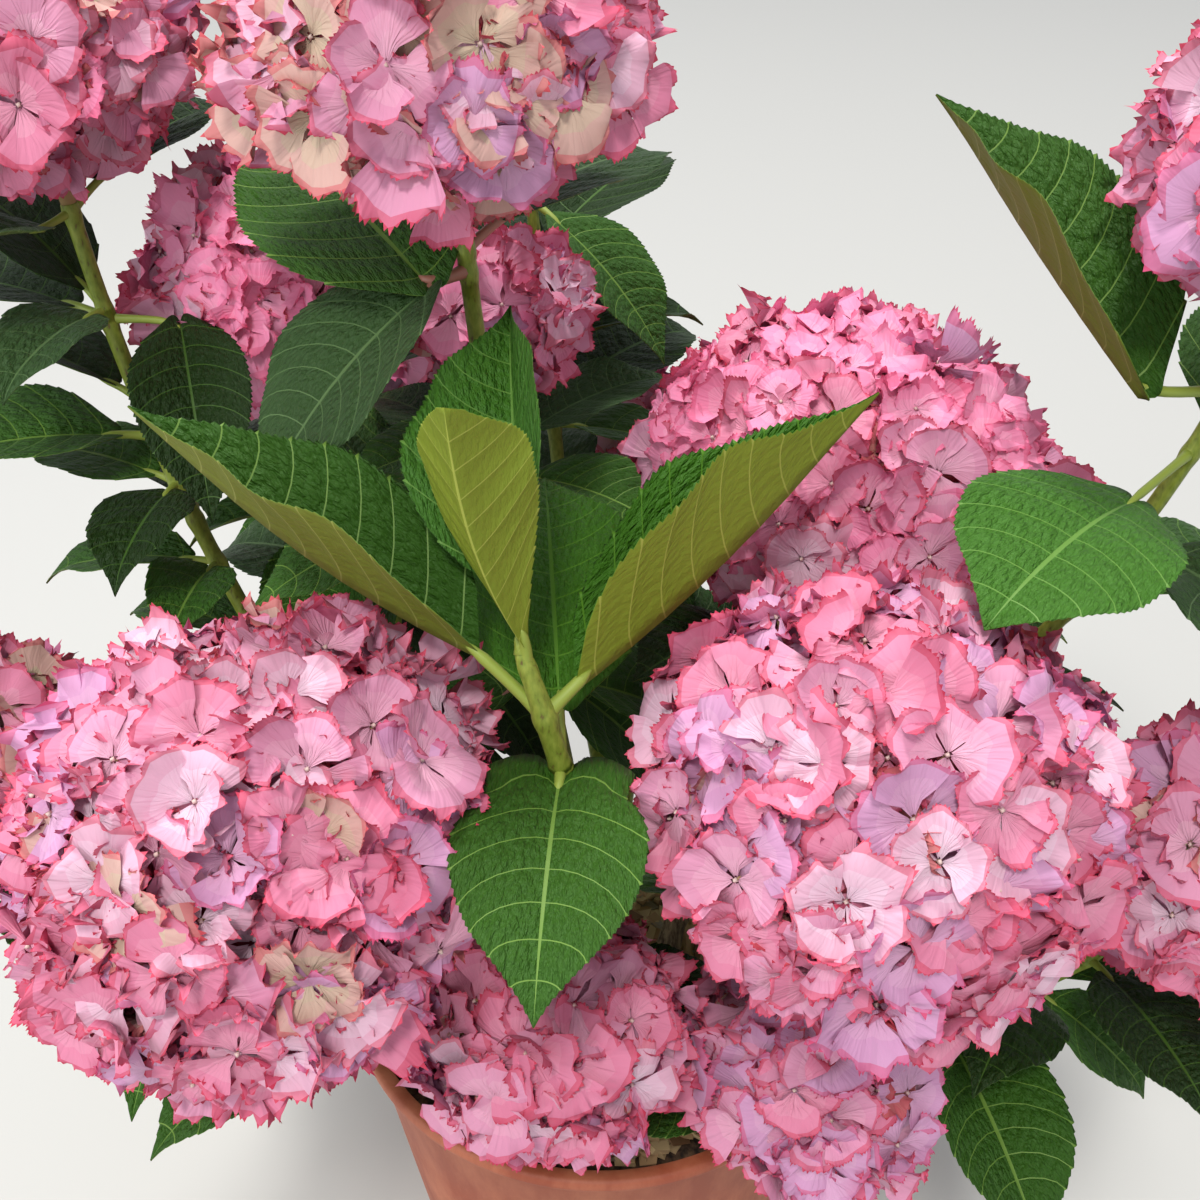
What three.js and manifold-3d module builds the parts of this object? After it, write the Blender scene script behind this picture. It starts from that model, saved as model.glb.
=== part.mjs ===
// A mophead hydrangea in its pot: one shrub, many canes from one crown of roots.
// Units are millimetres and +Z is up. The origin is the middle of the pot's flat underside.
// +Y points away from the viewer and +X to the viewer's right.
import * as THREE from "three";
import { mergeVertices } from "three/addons/utils/BufferGeometryUtils.js";
import Module from "manifold-3d";

const wasm = await Module();
wasm.setup();

// Pot and potting soil
const POT_HEIGHT = 252;
const POT_TOP_RADIUS = 138;
const POT_FOOT_RADIUS = 102;
const POT_WALL = 4;
const POT_FLOOR = 5;
const LIP_REACH = 5;
const LIP_DEPTH = 9;
const FOOT_CHAMFER = 3;
const DRAIN_COUNT = 6;
const DRAIN_RADIUS = 7;
const DRAIN_RING = 70;
const POT_SEGMENTS = 48;
const SOIL_TOP = 232;

// Gap between touching pieces
const CLEAR = 0.3;

// Canes: woody stems, flared where they leave the soil
const CANE_FOOT_RADIUS = 7;
const CANE_TIP_RADIUS = 5.6;
const CANE_FLARE = 0.45;
const CANE_FLARE_HEIGHT = 0.12;
const CANE_SIDES = 8;
const CANE_STEPS = 5;

// Shoots: this season's green stems, which carry the leaf pairs
const SHOOT_FOOT_RADIUS = 4.7;
const SHOOT_TIP_RADIUS = 3.7;
const SHOOT_SIDES = 6;
const SHOOT_STEPS = 6;
const SHOOT_REACH = 0.36;

// Flower heads: a dense dome of florets on a short stalk
const DOME_TOP = 0.95;
const DOME_UNDER = 0.72;
const UNDER_SLOPE = 1.35;
const DOME_CORE = 0.95;
const STALK_LENGTH = 20;
const STALK_SIDES = 6;
const FLORET_SPREAD = 0.34;
const FLORET_COUNT = 13;
const FLORET_SEAT = 0.92;
const FLORET_THICKNESS = 0.15;
const NEAR_BLOOMS = 1.1;
const GOLDEN_ANGLE = Math.PI * (3 - Math.sqrt(5));

// Leaves: ovate, drawn out to a tip, in opposite pairs turned a quarter turn from node to node
const LEAF_WIDTH = 0.62;
const LEAF_ARCH = 0.07;
const LEAF_THICKNESS = 0.03;
const LEAF_WIDEST = 0.4;
const LEAF_STATIONS = [0, 0.24, 0.62];
const PETIOLE_RADIUS = 2.1;
const PETIOLE_LIFT = 18;
const PETIOLE_PART = 0.18;
const FIRST_PAIR_BELOW = 14;
const PAIR_SPACING = 46;
const PAIR_LENGTHS = [88, 112, 124, 118, 104, 96];
const PAIR_RISES = [22, 8, -6, -16, -24, -28];

// Room that a leaf keeps: to flower heads, to stems, and to other leaves
const ROOM_BLOOM = 7;
const ROOM_STEM = 7;
const ROOM_LEAF = 13;
const ROOM_POT = 10;
const LEAF_TRIES = [[0, 0], [0, -14], [20, -12], [-20, -12], [0, -28], [28, -26], [-28, -26], [0, 14], [0, -42]];

const radians = (degrees) => THREE.MathUtils.degToRad(degrees);

// Canes: foot on the soil, and the fork or tip that the shoots leave
const canes = [
  { name: "cane_1", foot: [-34, -30], tip: [-60, -66, 292] },
  { name: "cane_2", foot: [30, -34], tip: [46, -64, 276] },
  { name: "cane_3", foot: [-4, -12], tip: [-8, -22, 336] },
  { name: "cane_4", foot: [58, -20], tip: [120, -34, 296] },
  { name: "cane_5", foot: [38, 22], tip: [60, 36, 312] },
  { name: "cane_6", foot: [64, 8], tip: [110, 4, 330] },
  { name: "cane_7", foot: [6, 40], tip: [14, 72, 304] },
  { name: "cane_8", foot: [-38, 38], tip: [-66, 66, 318] },
  { name: "cane_9", foot: [-58, 4], tip: [-98, 14, 312] },
  { name: "cane_10", foot: [-18, 16], tip: [-28, 48, 322] },
];

// One leaf set by hand: how far below the shoot's tip it leaves the stem, its compass
// heading from +X, the rise of its blade and its length. More: fold and roll of the blade,
// its width and arch, the petiole's length and lift, and the heading the petiole leaves on
const leaf = (below, heading, rise, length, more = {}) => ({ below, heading, rise, length, ...more });

// Shoots. `from` is the place on the cane, `aim` the direction at the shoot's own tip.
// A shoot with a bloom ends under it; `pairs` leaf pairs follow the rule from `first` down.
const shoots = [
  {
    name: "left_front", cane: 0, from: 1,
    bloom: { at: [-138, -151, 494], radius: 105, lean: 0.45 },
    pairs: 2, turn: 150,
  },
  {
    name: "low_front", cane: 0, from: 0.6,
    bloom: { at: [-24, -148, 382], radius: 66, lean: 0.5 },
    pairs: 1, turn: 200,
  },
  {
    name: "low_middle", cane: 1, from: 1,
    bloom: { at: [98, -142, 346], radius: 63, lean: 0.5 },
    pairs: 1, turn: 20,
  },
  {
    name: "centre_leafy", cane: 2, from: 0.8,
    tip: [-32, -135, 590], aim: [-0.32, 0.3, 0.9], start: [0, -0.6, 0.8], radius: 5.4,
    own: [
      leaf(12, 214, 76, 113, { roll: -47, fold: 52, petiole: 9, lift: 16, arch: -0.06, width: 0.6, widest: 0.66 }),
      leaf(8, 94, 29, 138, { roll: 29, fold: 49, petiole: 22, lift: 27, arch: -0.01, width: 0.63 }),
      leaf(36, 159, 30, 163, { fold: 52, roll: -7, petiole: 36, lift: 11, arch: -0.07, width: 0.53 }),
      leaf(36, 39, 26, 177, { fold: 75, roll: 19, petiole: 18, lift: 0, arch: -0.06, width: 0.49 }),
      leaf(64, 266, -12, 106, { fold: 8, petiole: 8, arch: 0.1, width: 0.68 }),
      leaf(66, 94, 14, 132, { fold: 10, petiole: 28, lift: 30 }),
    ],
    pairs: 1, first: 150, turn: 40,
  },
  {
    name: "top", cane: 2, from: 1,
    bloom: { at: [-60, 3, 768], radius: 85, lean: 0.05, stalk: 14 },
    own: [
      leaf(13, 210, -44, 116, { from: 227, lift: 44, fold: 10, petiole: 21, width: 0.76 }),
      leaf(13, 125, 9, 156, { from: 227, lift: -9, fold: 8, roll: 14, petiole: 22, arch: 0.03 }),
      leaf(4, 52, -2, 118, { fold: 12, lift: 18, petiole: 26 }),
      leaf(120, 205, -14, 112, { fold: 8, petiole: 14 }),
    ],
    pairs: 2, first: 170, turn: 100,
  },
  {
    name: "right_front", cane: 3, from: 1,
    bloom: { at: [111, -141, 508], radius: 100, lean: 0.42, stalk: 12 }, start: [0.1, -0.3, 0.9],
    pairs: 2, first: 60, turn: 70,
  },
  {
    name: "low_right", cane: 3, from: 0.55,
    bloom: { at: [276, -104, 436], radius: 70, lean: 0.5 }, start: [0.75, -0.55, 0.35],
    pairs: 3, turn: 110,
  },
  {
    name: "right_middle", cane: 4, from: 1,
    bloom: { at: [119, 74, 529], radius: 104, lean: 0.3, stalk: 10 },
    own: [leaf(6, 229, 18, 110, { fold: 10, petiole: 24 }), leaf(14, 49, 0, 112, { petiole: 20 })],
    pairs: 2, first: 62, turn: 130,
  },
  {
    name: "back_right", cane: 4, from: 0.6,
    bloom: { at: [226, 194, 442], radius: 68, lean: 0.5 },
    pairs: 3, turn: 20,
  },
  {
    name: "right", cane: 5, from: 1,
    bloom: { at: [288, -14, 720], radius: 78, lean: 0.2 },
    own: [
      leaf(14, 131, 39, 157, { from: 198, lift: -32, fold: 40, roll: -7, petiole: 45, arch: -0.02, width: 0.64 }),
      leaf(14, 312, 10, 120, { petiole: 20 }),
      leaf(46, 227, -2, 118, { from: 225, lift: -2, fold: 8, roll: 8, petiole: 50, width: 0.74, widest: 0.5 }),
      leaf(46, 47, 6, 124, { petiole: 24 }),
    ],
    pairs: 4, first: 96, turn: 120,
  },
  {
    name: "back_middle", cane: 6, from: 1,
    bloom: { at: [56, 268, 436], radius: 68, lean: 0.55 },
    pairs: 3, turn: 60,
  },
  {
    name: "back_left", cane: 7, from: 0.62,
    bloom: { at: [-153, 279, 486], radius: 72, lean: 0.5 },
    pairs: 4, turn: 10,
  },
  {
    name: "left_middle", cane: 7, from: 1,
    bloom: { at: [-166, 124, 620], radius: 71, lean: 0.3 },
    own: [leaf(60, 254, -30, 96, { petiole: 14 }), leaf(60, 74, 0, 110, { petiole: 20 })],
    pairs: 4, first: 104, turn: 160,
  },
  {
    name: "left", cane: 8, from: 1,
    bloom: { at: [-249, 71, 746], radius: 75, lean: 0.12, stalk: 8 },
    own: [
      leaf(4, 62, 4, 100, { fold: 16, lift: 20, petiole: 24 }),
      leaf(4, 242, 4, 84, { lift: -10, petiole: 18 }),
      leaf(56, 286, -38, 104, { from: 0, lift: 36, fold: 14, petiole: 34, width: 0.52 }),
      leaf(56, 160, -4, 116, { petiole: 20 }),
      leaf(118, 200, -3, 118, { petiole: 20 }),
      leaf(164, 100, -13, 120, { petiole: 20 }),
    ],
    pairs: 0, turn: 30,
  },
  {
    name: "low_left", cane: 8, from: 0.6,
    bloom: { at: [-318, -22, 424], radius: 70, lean: 0.5 },
    pairs: 4, turn: 80,
  },
  {
    name: "behind_middle", cane: 9, from: 1,
    bloom: { at: [-53, 144, 593], radius: 50, lean: 0.1 },
    own: [
      leaf(16, 30, 6, 92, { petiole: 16 }),
      leaf(16, 212, 0, 84, { petiole: 16 }),
      leaf(34, 324, -2, 96, { petiole: 16 }),
      leaf(34, 140, 4, 100, { petiole: 16 }),
    ],
    pairs: 2, first: 96, turn: 60,
  },
  {
    name: "back_leafy", cane: 6, from: 0.7,
    tip: [-40, 228, 640], aim: [-0.1, 0.1, 1],
    own: [
      leaf(12, 320, -38, 104, { fold: 16, petiole: 18, width: 0.54 }),
      leaf(10, 145, 14, 104, { petiole: 16 }),
      leaf(44, 55, 6, 122, { petiole: 20 }),
      leaf(44, 190, 0, 96, { petiole: 18 }),
    ],
    pairs: 4, first: 84, turn: 140,
  },
];

// Park and Miller's generator: the same numbers on every run
function seeded(seed) {
  let state = seed;
  return () => {
    state = (state * 16807) % 2147483647;
    return state / 2147483647;
  };
}

const vector = (list) => new THREE.Vector3(list[0], list[1], list[2]);

function compass(heading, rise) {
  const flat = Math.cos(radians(rise));
  return new THREE.Vector3(flat * Math.cos(radians(heading)), flat * Math.sin(radians(heading)), Math.sin(radians(rise)));
}

// A cane rises from the soil and leans out to its fork
function caneCurve(cane) {
  const foot = new THREE.Vector3(cane.foot[0], cane.foot[1], SOIL_TOP - 4);
  const tip = vector(cane.tip);
  const middle = foot.clone().lerp(tip, 0.5);
  middle.x = foot.x + (tip.x - foot.x) * 0.35;
  middle.y = foot.y + (tip.y - foot.y) * 0.35;
  return new THREE.QuadraticBezierCurve3(foot, middle, tip);
}

// The flower head's own axis leans out from the middle of the shrub
function bloomAxis(bloom) {
  const out = new THREE.Vector3(bloom.at[0], bloom.at[1], 0).normalize();
  return out.multiplyScalar(bloom.lean).add(new THREE.Vector3(0, 0, 1)).normalize();
}

// A shoot leaves its cane, straight on at the tip and sideways lower down, and bends upright
function shootCurve(shoot) {
  const cane = canes[shoot.cane].curve;
  const root = cane.getPointAt(shoot.from);
  const along = cane.getTangentAt(shoot.from);
  if (shoot.from === 1) root.addScaledVector(along, -3);
  let aim;
  let tip;
  if (shoot.bloom) {
    aim = bloomAxis(shoot.bloom);
    const drop = DOME_UNDER * shoot.bloom.radius + (shoot.bloom.stalk ?? STALK_LENGTH);
    tip = vector(shoot.bloom.at).addScaledVector(aim, -drop);
  } else {
    aim = vector(shoot.aim).normalize();
    tip = vector(shoot.tip);
  }
  const span = root.distanceTo(tip);
  const away = tip.clone().sub(root).setZ(0).normalize();
  let start = along.clone();
  if (shoot.start) start = vector(shoot.start).normalize();
  else if (shoot.from < 1) start = away.multiplyScalar(0.8).add(new THREE.Vector3(0, 0, 0.6)).normalize();
  return new THREE.CubicBezierCurve3(
    root,
    root.clone().addScaledVector(start, span * SHOOT_REACH),
    tip.clone().addScaledVector(aim, -span * SHOOT_REACH),
    tip,
  );
}

// Half-width of a leaf at a place from 0 at its base to 1 at its tip, as a part of the widest
function leafOutline(one, s) {
  if (s <= 0 || s >= 1) return 0;
  const widest = one.widest ?? LEAF_WIDEST;
  return Math.pow(s / widest, 2 * widest) * Math.pow((1 - s) / (1 - widest), 2 - 2 * widest);
}

// Base of the blade: the end of its petiole
function bladeBase(one) {
  const lift = one.lift ?? PETIOLE_LIFT;
  const petiole = one.petiole ?? PETIOLE_PART * one.length;
  return one.node.clone().addScaledVector(compass(one.from ?? one.heading, one.rise + lift), petiole);
}

// A point of the blade and its normal: s runs along the midrib, side from -1 to 1 across
function bladePoint(one, s, side) {
  const arch = one.arch ?? LEAF_ARCH;
  const along = compass(one.heading, one.rise);
  const across = new THREE.Vector3(Math.sin(radians(one.heading)), -Math.cos(radians(one.heading)), 0);
  const lift = across.clone().cross(along);
  const point = bladeBase(one)
    .addScaledVector(along, one.length * s)
    .addScaledVector(lift, one.length * arch * 4 * s * (1 - s));
  const tangent = along.addScaledVector(lift, arch * 4 * (1 - 2 * s)).normalize();
  const up = across.clone().cross(tangent);
  const roll = radians(one.roll ?? 0);
  const wing = across.clone().multiplyScalar(Math.cos(roll)).addScaledVector(up, Math.sin(roll));
  const normal = up.multiplyScalar(Math.cos(roll)).addScaledVector(across, -Math.sin(roll));
  const fold = radians(one.fold ?? 14);
  const half = 0.5 * (one.width ?? LEAF_WIDTH) * one.length * leafOutline(one, s);
  point.addScaledVector(wing, side * half * Math.cos(fold));
  point.addScaledVector(normal, Math.abs(side) * half * Math.sin(fold));
  return { point, normal, wing };
}

// Leaf pairs by rule: opposite leaves, each pair turned a quarter turn, longer further down
function rulePairs(shoot, random) {
  const pairs = [];
  const first = shoot.first ?? FIRST_PAIR_BELOW;
  const skipped = Math.round((first - FIRST_PAIR_BELOW) / PAIR_SPACING);
  for (let k = 0; k < shoot.pairs; k += 1) {
    const age = Math.min(k + skipped, PAIR_LENGTHS.length - 1);
    for (const face of [0, 180]) {
      pairs.push({
        below: first + k * PAIR_SPACING,
        heading: shoot.turn + 90 * k + face + 24 * (random() - 0.5),
        rise: PAIR_RISES[age] + 10 * (random() - 0.5),
        length: PAIR_LENGTHS[age] * (0.9 + 0.2 * random()),
        fold: 8 + 14 * random(),
        roll: 24 * (random() - 0.5),
      });
    }
  }
  return pairs;
}

// Places on a blade where its room is tested
function bladeSamples(one) {
  const points = [];
  for (const s of [0.12, 0.26, 0.4, 0.55, 0.7, 0.85, 1]) {
    for (const side of [-1, -0.5, 0, 0.5, 1]) points.push(bladePoint(one, s, side).point);
  }
  return points;
}

function insideBloom(point, bloom, room) {
  const offset = point.clone().sub(vector(bloom.at));
  const along = offset.dot(bloomAxis(bloom));
  const across = Math.sqrt(Math.max(0, offset.lengthSq() - along * along));
  const height = bloom.radius * (along > 0 ? DOME_TOP : DOME_UNDER) + room;
  return (across / (bloom.radius + room)) ** 2 + (along / height) ** 2 < 1;
}

// A point of the dome from a direction of the unit sphere: round above, conical underneath
function domePoint(outward, scale) {
  if (outward.z > 0) return new THREE.Vector3(outward.x, outward.y, outward.z * DOME_TOP).multiplyScalar(scale);
  const ring = Math.hypot(outward.x, outward.y);
  const narrow = Math.pow(ring, UNDER_SLOPE) / Math.max(ring, 1e-6);
  const drop = DOME_UNDER * Math.pow(-outward.z, UNDER_SLOPE);
  return new THREE.Vector3(outward.x * narrow, outward.y * narrow, -drop).multiplyScalar(scale);
}

function stemPoints(curve, count) {
  const points = [];
  for (let k = 0; k <= count; k += 1) points.push(curve.getPointAt(k / count));
  return points;
}

// True when a leaf keeps its room to flower heads, stems, the pot and the leaves set before it
function hasRoom(samples, owner, placed) {
  for (const point of samples) {
    if (point.z < POT_HEIGHT + ROOM_POT && Math.hypot(point.x, point.y) < POT_TOP_RADIUS + 2 * ROOM_POT) return false;
    for (const shoot of shoots) {
      if (shoot.bloom && insideBloom(point, shoot.bloom, ROOM_BLOOM)) return false;
    }
    for (const stem of stems) {
      const room = stem.owner === owner ? ROOM_STEM * 0.7 : ROOM_STEM + SHOOT_FOOT_RADIUS;
      for (const place of stem.points) {
        if (point.distanceTo(place) < room) return false;
      }
    }
    for (const other of placed) {
      if (point.distanceTo(other.samples[17]) > 260) continue;
      for (const place of other.samples) {
        if (point.distanceTo(place) < ROOM_LEAF) return false;
      }
    }
  }
  return true;
}

// Curves of all canes and shoots, and the points along them that leaves keep clear of
for (const cane of canes) cane.curve = caneCurve(cane);
for (const shoot of shoots) shoot.curve = shootCurve(shoot);
const stems = [
  ...canes.map((cane) => ({ owner: cane.name, points: stemPoints(cane.curve, 8) })),
  ...shoots.map((shoot) => ({ owner: shoot.name, points: stemPoints(shoot.curve, 40) })),
];

// Leaves set by hand keep their places; those set by rule are tried, turned and lowered, or skipped
const placed = [];
function place(shoot, wanted, byHand) {
  const length = shoot.curve.getLength();
  if (wanted.below > length - 16) return;
  const node = shoot.curve.getPointAt(1 - wanted.below / length);
  for (const [turn, tilt] of byHand ? [[0, 0]] : LEAF_TRIES) {
    const one = { ...wanted, node, heading: wanted.heading + turn, rise: wanted.rise + tilt };
    one.samples = bladeSamples(one);
    if (byHand || hasRoom(one.samples, shoot.name, placed)) {
      placed.push(one);
      shoot.leaves.push(one);
      return;
    }
  }
}
for (const shoot of shoots) {
  shoot.leaves = [];
  for (const wanted of shoot.own ?? []) place(shoot, wanted, true);
}
shoots.forEach((shoot, index) => {
  const random = seeded(1201 + 97 * index);
  for (const wanted of rulePairs(shoot, random)) place(shoot, wanted, false);
});

// Solids: a geometry whose shared vertices are merged, for joining and cutting
function solid(geometry) {
  geometry.deleteAttribute("normal");
  geometry.deleteAttribute("uv");
  const merged = mergeVertices(geometry, 1e-4);
  return new wasm.Manifold(new wasm.Mesh({
    numProp: 3,
    vertProperties: new Float32Array(merged.getAttribute("position").array),
    triVerts: new Uint32Array(merged.getIndex().array),
  }));
}

function geometryOf(body) {
  const mesh = body.getMesh();
  const geometry = new THREE.BufferGeometry();
  geometry.setAttribute("position", new THREE.BufferAttribute(new Float32Array(mesh.vertProperties), 3));
  geometry.setIndex(new THREE.BufferAttribute(new Uint32Array(mesh.triVerts), 1));
  geometry.computeVertexNormals();
  return geometry;
}

// A round limb along a curve: a cylinder bent to it, with its radius given at each place
function limb(curve, radiusAt, sides, steps, grow = 0) {
  const geometry = new THREE.CylinderGeometry(1, 1, 1, sides, steps);
  const position = geometry.getAttribute("position");
  const chord = curve.getPointAt(1).sub(curve.getPointAt(0)).normalize();
  const reference = Math.abs(chord.x) > 0.8 ? new THREE.Vector3(0, 1, 0) : new THREE.Vector3(1, 0, 0);
  for (let i = 0; i < position.count; i += 1) {
    const s = Math.min(1, Math.max(0, position.getY(i) + 0.5));
    const tangent = curve.getTangentAt(s);
    const first = reference.clone().addScaledVector(tangent, -reference.dot(tangent)).normalize();
    const second = first.clone().cross(tangent);
    const reach = radiusAt(s) + grow;
    const point = curve.getPointAt(s).addScaledVector(tangent, s === 1 ? grow : 0);
    point.addScaledVector(first, position.getX(i) * reach).addScaledVector(second, position.getZ(i) * reach);
    position.setXYZ(i, point.x, point.y, point.z);
  }
  return solid(geometry);
}

function caneRadius(s) {
  const taper = CANE_FOOT_RADIUS + (CANE_TIP_RADIUS - CANE_FOOT_RADIUS) * s;
  return taper * (1 + CANE_FLARE * Math.exp(-s / CANE_FLARE_HEIGHT));
}

function shootRadius(shoot, s) {
  const foot = shoot.radius ?? SHOOT_FOOT_RADIUS;
  return foot + (SHOOT_TIP_RADIUS - SHOOT_FOOT_RADIUS) * s;
}

function pot() {
  const slope = (POT_TOP_RADIUS - POT_FOOT_RADIUS) / POT_HEIGHT;
  const outside = (z) => POT_FOOT_RADIUS + slope * z;
  const profile = [
    [0, 0],
    [outside(0) - FOOT_CHAMFER, 0],
    [outside(FOOT_CHAMFER), FOOT_CHAMFER],
    [outside(POT_HEIGHT - LIP_DEPTH) + 1, POT_HEIGHT - LIP_DEPTH - 1],
    [outside(POT_HEIGHT) + LIP_REACH, POT_HEIGHT - LIP_DEPTH + 2],
    [outside(POT_HEIGHT) + LIP_REACH, POT_HEIGHT - 2],
    [outside(POT_HEIGHT) + LIP_REACH - 2, POT_HEIGHT],
    [outside(POT_HEIGHT) - POT_WALL + 1, POT_HEIGHT],
    [outside(POT_HEIGHT) - POT_WALL, POT_HEIGHT - 1.5],
    [outside(POT_FLOOR) - POT_WALL, POT_FLOOR],
    [0, POT_FLOOR],
  ].map(([radius, z]) => new THREE.Vector2(radius, z));
  let body = solid(new THREE.LatheGeometry(profile, POT_SEGMENTS).rotateX(Math.PI / 2));
  for (let k = 0; k < DRAIN_COUNT; k += 1) {
    const angle = (2 * Math.PI * k) / DRAIN_COUNT;
    const drill = new THREE.CylinderGeometry(DRAIN_RADIUS, DRAIN_RADIUS, 3 * POT_FLOOR, 12).rotateX(Math.PI / 2);
    drill.translate(DRAIN_RING * Math.cos(angle), DRAIN_RING * Math.sin(angle), POT_FLOOR / 2);
    body = body.subtract(solid(drill));
  }
  return body;
}

function soil() {
  const slope = (POT_TOP_RADIUS - POT_FOOT_RADIUS) / POT_HEIGHT;
  const inside = (z) => POT_FOOT_RADIUS + slope * z - POT_WALL - 1.5 * CLEAR;
  const low = POT_FLOOR + CLEAR;
  const profile = [
    [0, low],
    [inside(low), low],
    [inside(SOIL_TOP), SOIL_TOP],
    [0, SOIL_TOP],
  ].map(([radius, z]) => new THREE.Vector2(radius, z));
  return solid(new THREE.LatheGeometry(profile, POT_SEGMENTS).rotateX(Math.PI / 2));
}

// The largest piece of a body, without the crumbs a cut has left
function largest(body) {
  return body.decompose().reduce((one, other) => (other.volume() > one.volume() ? other : one));
}

// A cane is cut flat at the soil
function caneSolid(cane, grow) {
  const body = limb(cane.curve, caneRadius, CANE_SIDES, CANE_STEPS, grow);
  const ground = new THREE.BoxGeometry(400, 400, 40).translate(0, 0, SOIL_TOP + CLEAR - 20);
  return body.subtract(solid(ground));
}

// One leaf, made from a four-sided sphere drawn out along the leaf: from a pole in the
// middle of the stem, along the petiole, and over the blade, which is folded at its midrib
function leafSolid(one) {
  const geometry = new THREE.SphereGeometry(1, 4, LEAF_STATIONS.length + 2);
  const position = geometry.getAttribute("position");
  const base = bladeBase(one);
  for (let i = 0; i < position.count; i += 1) {
    const ring = Math.round((Math.acos(THREE.MathUtils.clamp(position.getY(i), -1, 1)) / Math.PI)
      * (LEAF_STATIONS.length + 2)) - 1;
    const side = -Math.sign(Math.round(position.getX(i) * 1e4));
    const face = Math.sign(Math.round(position.getZ(i) * 1e4));
    const s = ring < 1 ? 0 : LEAF_STATIONS[ring - 1] ?? 1;
    const { point, normal, wing } = bladePoint(one, s, side);
    const thick = s === 0 ? PETIOLE_RADIUS : 0.5 * LEAF_THICKNESS * one.length * leafOutline(one, s);
    if (s === 0) point.addScaledVector(wing, side * PETIOLE_RADIUS);
    point.addScaledVector(normal, face * thick);
    if (ring === 0) point.sub(base).add(one.node.clone().lerp(base, 0.25));
    if (ring < 0) point.copy(one.node);
    position.setXYZ(i, point.x, point.y, point.z);
  }
  return solid(geometry);
}

// A leafy shoot: its stem with all its leaves fused on, kept clear of its cane
function shootSolid(shoot) {
  let body = limb(shoot.curve, (s) => shootRadius(shoot, s), SHOOT_SIDES, SHOOT_STEPS);
  for (const one of shoot.leaves) body = body.add(leafSolid(one));
  return largest(body.subtract(caneSolid(canes[shoot.cane], CLEAR)));
}

// A flower head keeps to its own side of the plane half way to a near neighbour
function ownSide(body, bloom) {
  for (const other of shoots) {
    if (!other.bloom || other.bloom === bloom) continue;
    const toOther = vector(other.bloom.at).sub(vector(bloom.at));
    const between = toOther.length();
    if (between > NEAR_BLOOMS * (bloom.radius + other.bloom.radius)) continue;
    toOther.normalize();
    const reach = (between * bloom.radius) / (bloom.radius + other.bloom.radius) - CLEAR;
    const edge = vector(bloom.at).dot(toOther) + reach;
    body = body.trimByPlane(toOther.negate().toArray(), -edge);
  }
  return body;
}

// A flower head: a dense core that its florets stand out of, on a short stalk. A floret that
// would touch a leaf is left out.
function bloomSolid(shoot, index) {
  const { radius } = shoot.bloom;
  const axis = bloomAxis(shoot.bloom);
  const random = seeded(4001 + 131 * index);
  const turn = new THREE.Quaternion().setFromUnitVectors(new THREE.Vector3(0, 0, 1), axis);
  const core = new THREE.SphereGeometry(1, 8, 5).rotateX(Math.PI / 2);
  const position = core.getAttribute("position");
  for (let i = 0; i < position.count; i += 1) {
    const outward = new THREE.Vector3(position.getX(i), position.getY(i), position.getZ(i));
    const point = domePoint(outward, radius * DOME_CORE);
    position.setXYZ(i, point.x, point.y, point.z);
  }
  core.applyQuaternion(turn);
  core.translate(...shoot.bloom.at);
  let body = solid(core);
  for (let k = 0; k < FLORET_COUNT; k += 1) {
    const height = 1 - (1.72 * (k + 0.5)) / FLORET_COUNT;
    const ring = Math.sqrt(1 - height * height);
    const angle = k * GOLDEN_ANGLE + 0.5 * random();
    const outward = new THREE.Vector3(ring * Math.cos(angle), ring * Math.sin(angle), height);
    const squash = height > 0 ? DOME_TOP : DOME_UNDER;
    const seat = domePoint(outward, radius * FLORET_SEAT);
    const facing = outward.clone().divide(new THREE.Vector3(1, 1, squash));
    facing.add(new THREE.Vector3(random() - 0.5, random() - 0.5, random() - 0.5).multiplyScalar(0.2)).normalize();
    const spread = radius * FLORET_SPREAD * (0.9 + 0.2 * random());
    const floret = new THREE.OctahedronGeometry(1, 0);
    floret.scale(spread, spread, radius * FLORET_THICKNESS).rotateZ(Math.PI * random());
    floret.applyQuaternion(new THREE.Quaternion().setFromUnitVectors(new THREE.Vector3(0, 0, 1), facing));
    floret.translate(seat.x, seat.y, seat.z).applyQuaternion(turn).translate(...shoot.bloom.at);
    const petals = solid(floret);
    if (leafyBodies.every((leafy) => petals.intersect(leafy).isEmpty())) body = body.add(petals);
  }
  const inner = vector(shoot.bloom.at).addScaledVector(axis, -0.4 * radius);
  const low = shoot.curve.getPointAt(1).addScaledVector(axis, -2);
  const stalk = limb(new THREE.LineCurve3(low, inner), () => SHOOT_TIP_RADIUS, STALK_SIDES, 1);
  const stem = limb(shoot.curve, (s) => shootRadius(shoot, s), SHOOT_SIDES, SHOOT_STEPS, CLEAR);
  return largest(ownSide(body, shoot.bloom).add(stalk).subtract(stem));
}

const potPlastic = new THREE.MeshStandardMaterial({ color: 0xb5603f, roughness: 0.6, metalness: 0 });
const pottingSoil = new THREE.MeshStandardMaterial({ color: 0x9c8161, roughness: 0.95, metalness: 0 });
const bark = new THREE.MeshStandardMaterial({ color: 0x7d6a4c, roughness: 0.85, metalness: 0 });
const greenLeaf = new THREE.MeshStandardMaterial({ color: 0x2f6b2a, roughness: 0.5, metalness: 0 });
const pinkFloret = new THREE.MeshStandardMaterial({ color: 0xe98aa8, roughness: 0.6, metalness: 0 });

const shrub = new THREE.Group();
function addPiece(name, body, material) {
  const mesh = new THREE.Mesh(geometryOf(body), material);
  mesh.name = name;
  shrub.add(mesh);
}

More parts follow.
